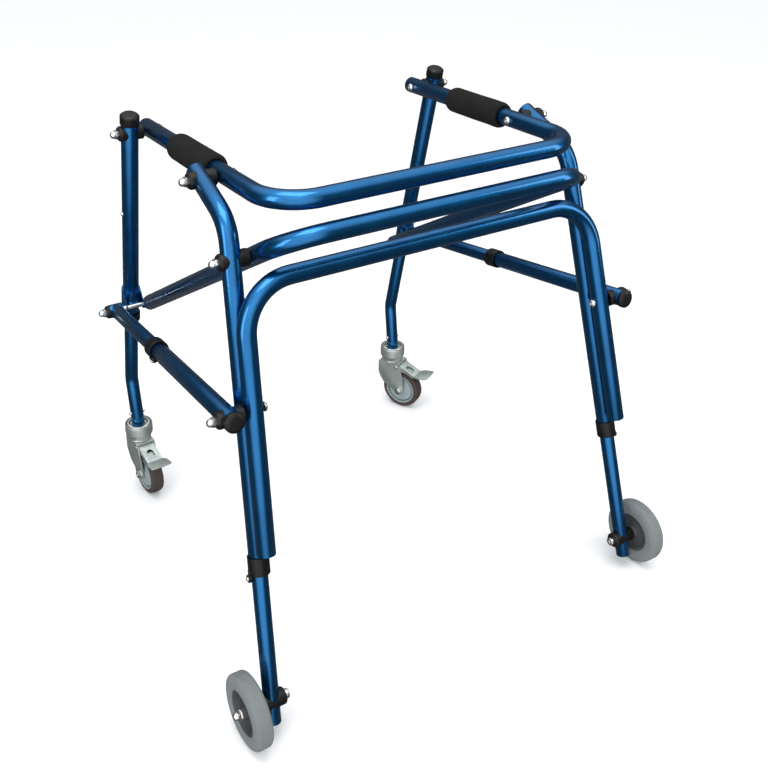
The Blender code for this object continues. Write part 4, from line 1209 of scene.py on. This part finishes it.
# %% Set them at their seats
def fastener_tree():
    tree = ShapeTree("fasteners", [
        ("Fastener", "NodeSocketObject"), ("Seed", "NodeSocketInt"), ("Finish", "NodeSocketMaterial"),
    ])
    way = tree.node("GeometryNodeInputNamedAttribute", {"data_type": "FLOAT_VECTOR"}, "way")
    stand = tree.node("FunctionNodeAlignRotationToVector", {"axis": "Z"}, Vector=way)
    spin = tree.node("FunctionNodeRandomValue", {"data_type": "FLOAT"}, out=1)
    for index, value in ((2, 0.0), (3, math.tau), (8, tree.given("Seed"))):
        tree.feed(spin.socket.node.inputs[index], value)
    twist = tree.node("ShaderNodeCombineXYZ", None, Z=spin)
    turn = tree.node("FunctionNodeRotateRotation", {"rotation_space": "LOCAL"}, stand, twist)
    shape = tree.node("GeometryNodeObjectInfo", None, tree.given("Fastener"), out="Geometry")
    copies = tree.node(
        "GeometryNodeInstanceOnPoints", None, Points=tree.given("Geometry"), Instance=shape, Rotation=turn
    )
    tree.finish(copies)
    return tree


FASTENER_TREE = fastener_tree()


def seat_mesh(seats):
    mesh = bpy.data.meshes.new("seats")
    mesh.from_pydata([place for place, way in seats], [], [])
    attribute = mesh.attributes.new("way", "FLOAT_VECTOR", "POINT")
    for item, (place, way) in zip(attribute.data, seats):
        item.vector = way
    return mesh


def set_fasteners(kind, body):
    seats = [(place, way) for *which, place, way in SEATS if which == [kind, body]]
    pattern = bpy.data.objects.new("pattern", FASTENERS[kind])
    bpy.context.scene.collection.objects.link(pattern)
    mesh = run_tree(FASTENER_TREE, seat_mesh(seats), {"Fastener": pattern, "Seed": 7, "Finish": STEEL})
    bpy.data.objects.remove(pattern, do_unlink=True)
    fit(f"{kind}_{body}", mesh, body, STEEL)


for kind, body in dict.fromkeys((seat[0], seat[1]) for seat in SEATS):
    set_fasteners(kind, body)

# %% [markdown]
# ## Hand grips
#
# Each grip is a sleeve of foam pushed on to the handle rail. Foam is soft, so its ends are well
# rounded and its side isn't quite straight: a smooth noise moves the surface by a few tenths of
# a millimetre.

# %% Grips
def grip(side, tag):
    share = -HANDLE_CORNER[0] / (HANDLE_FRONT[0] - HANDLE_CORNER[0])
    start = on_side(side, RAIL_X, HANDLE_CORNER + (HANDLE_FRONT - HANDLE_CORNER) * share)
    way = Vector((0, *(HANDLE_FRONT - HANDLE_CORNER))).normalized()
    length = 123 * MM
    bore = TUBE_R + 0.1 * MM
    rings = [(20 * MM, length - 6 * MM - (length - 12 * MM) * step / 24) for step in range(25)]
    profile = [
        (bore, length - 1.5 * MM), (15 * MM, length), (18.6 * MM, length - 1.6 * MM), *rings,
        (18.6 * MM, 1.6 * MM), (15 * MM, 0), (bore, 1.5 * MM),
    ]
    mesh = turned(profile, start, way, 1.6 * MM, 72, closed=True)
    dice = random.Random(3 if side < 0 else 5)
    waves = [(dice.uniform(20, 60), dice.uniform(0, math.tau), dice.randint(1, 3)) for _ in range(4)]
    for vertex in mesh.vertices:
        offset = vertex.co - start
        along = offset.dot(way)
        radial = offset - way * along
        if radial.length < 14 * MM:
            continue
        angle = math.atan2(radial.z, radial.x)
        swell = sum(math.sin(rate * along * 2 + shift + turns * angle) for rate, shift, turns in waves) / 4
        vertex.co -= radial.normalized() * (0.35 * MM + 0.3 * MM * swell)
    return fit(f"hand_grip_{tag}_look", mesh, "handle", FOAM, (f"hand_grip_{tag}",))


for SIDE, TAG in SIDES:
    grip(SIDE, TAG)

# %% [markdown]
# ## Floor and light
#
# Polished tube is a mirror, so it shows the room more than it shows the lamps. The room here is a
# smooth shade: bright overhead and behind the camera, dark on the far side. A round tube then
# gets what a real one has in a studio: a bright band along its middle and deep edges. The floor
# is plain and pale, and only the polished pieces don't see it. Where the camera looks past the
# floor, it sees a pale room.

# %% Floor
def studio_floor():
    mesh = bpy.data.meshes.new("floor")
    corners = [(x, y, -0.5 * MM) for x, y in ((-12, -12), (12, -12), (12, 12), (-12, 12))]
    mesh.from_pydata(corners, [], [(0, 1, 2, 3)])
    floor = bpy.data.objects.new("floor", mesh)
    bpy.context.scene.collection.objects.link(floor)
    floor.visible_glossy = False
    pale = Finish("pale_floor")
    grain = pale.mottle(3.0, 2.0)
    colour = pale.mix(grain, (0.88, 0.88, 0.88, 1), (0.90, 0.90, 0.90, 1))
    mesh.materials.append(pale.done(colour, 0.9 + grain * 0.02, None))
    floor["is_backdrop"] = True


studio_floor()


# %% The room's shade
def studio_room(behind_camera):
    world = bpy.data.worlds.new("room")
    world.use_nodes = True
    room = Maker(world.node_tree)
    way = room.node("ShaderNodeTexCoord", out="Generated")
    height = room.node("ShaderNodeSeparateXYZ", None, way, out=2)
    facing = room.node("ShaderNodeVectorMath", {"operation": "DOT_PRODUCT"}, way, behind_camera, out="Value")
    smoothly = {"interpolation_type": "SMOOTHSTEP"}
    overhead = room.node("ShaderNodeMapRange", smoothly, Value=height, From_Min=0.35, From_Max=0.85)
    behind = room.node("ShaderNodeMapRange", smoothly, Value=facing, From_Min=0.55, From_Max=0.95)
    seen = room.node("ShaderNodeLightPath", out="Is Camera Ray")
    strength = 0.10 + overhead * 1.35 + behind * 1.6 + seen * 0.85
    background = world.node_tree.nodes["Background"]
    background.inputs["Color"].default_value = (0.95, 0.97, 1.0, 1)
    room.feed(background.inputs["Strength"], strength)
    bpy.context.scene.world = world
    print("room shade has", len(world.node_tree.nodes), "nodes")


studio_room((-AHEAD + Vector((0, 0, -0.35))).normalized())


# %% Lights
def softbox(name, place, aim, size, power):
    light = bpy.data.lights.new(name, "AREA")
    light.shape = "RECTANGLE"
    light.size, light.size_y = size
    light.energy = power
    holder = bpy.data.objects.new(name, light)
    bpy.context.scene.collection.objects.link(holder)
    holder.location = place
    holder.rotation_euler = (Vector(aim) - Vector(place)).to_track_quat("-Z", "Y").to_euler()
    return holder


softbox("overhead", (-0.4, -0.3, 2.8), (0, 0, 0.3), (1.6, 1.6), 30)
softbox("left_side", (-2.6, -0.6, 1.3), (0, 0, 0.4), (0.8, 2.0), 22)
softbox("right_side", (2.2, -1.6, 1.4), (0, 0, 0.4), (0.7, 2.0), 16)
bpy.context.scene.view_settings.view_transform = "Standard"

# %% [markdown]
# ## Sizes and the end
#
# Both boxes are printed: the solids' box and the looks' box.

# %% Print the boxes
LOOK_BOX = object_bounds()
for label, (low, high) in (("solids", CAD_BOX), ("looks", LOOK_BOX)):
    print(label, [round(value, 4) for value in high - low])
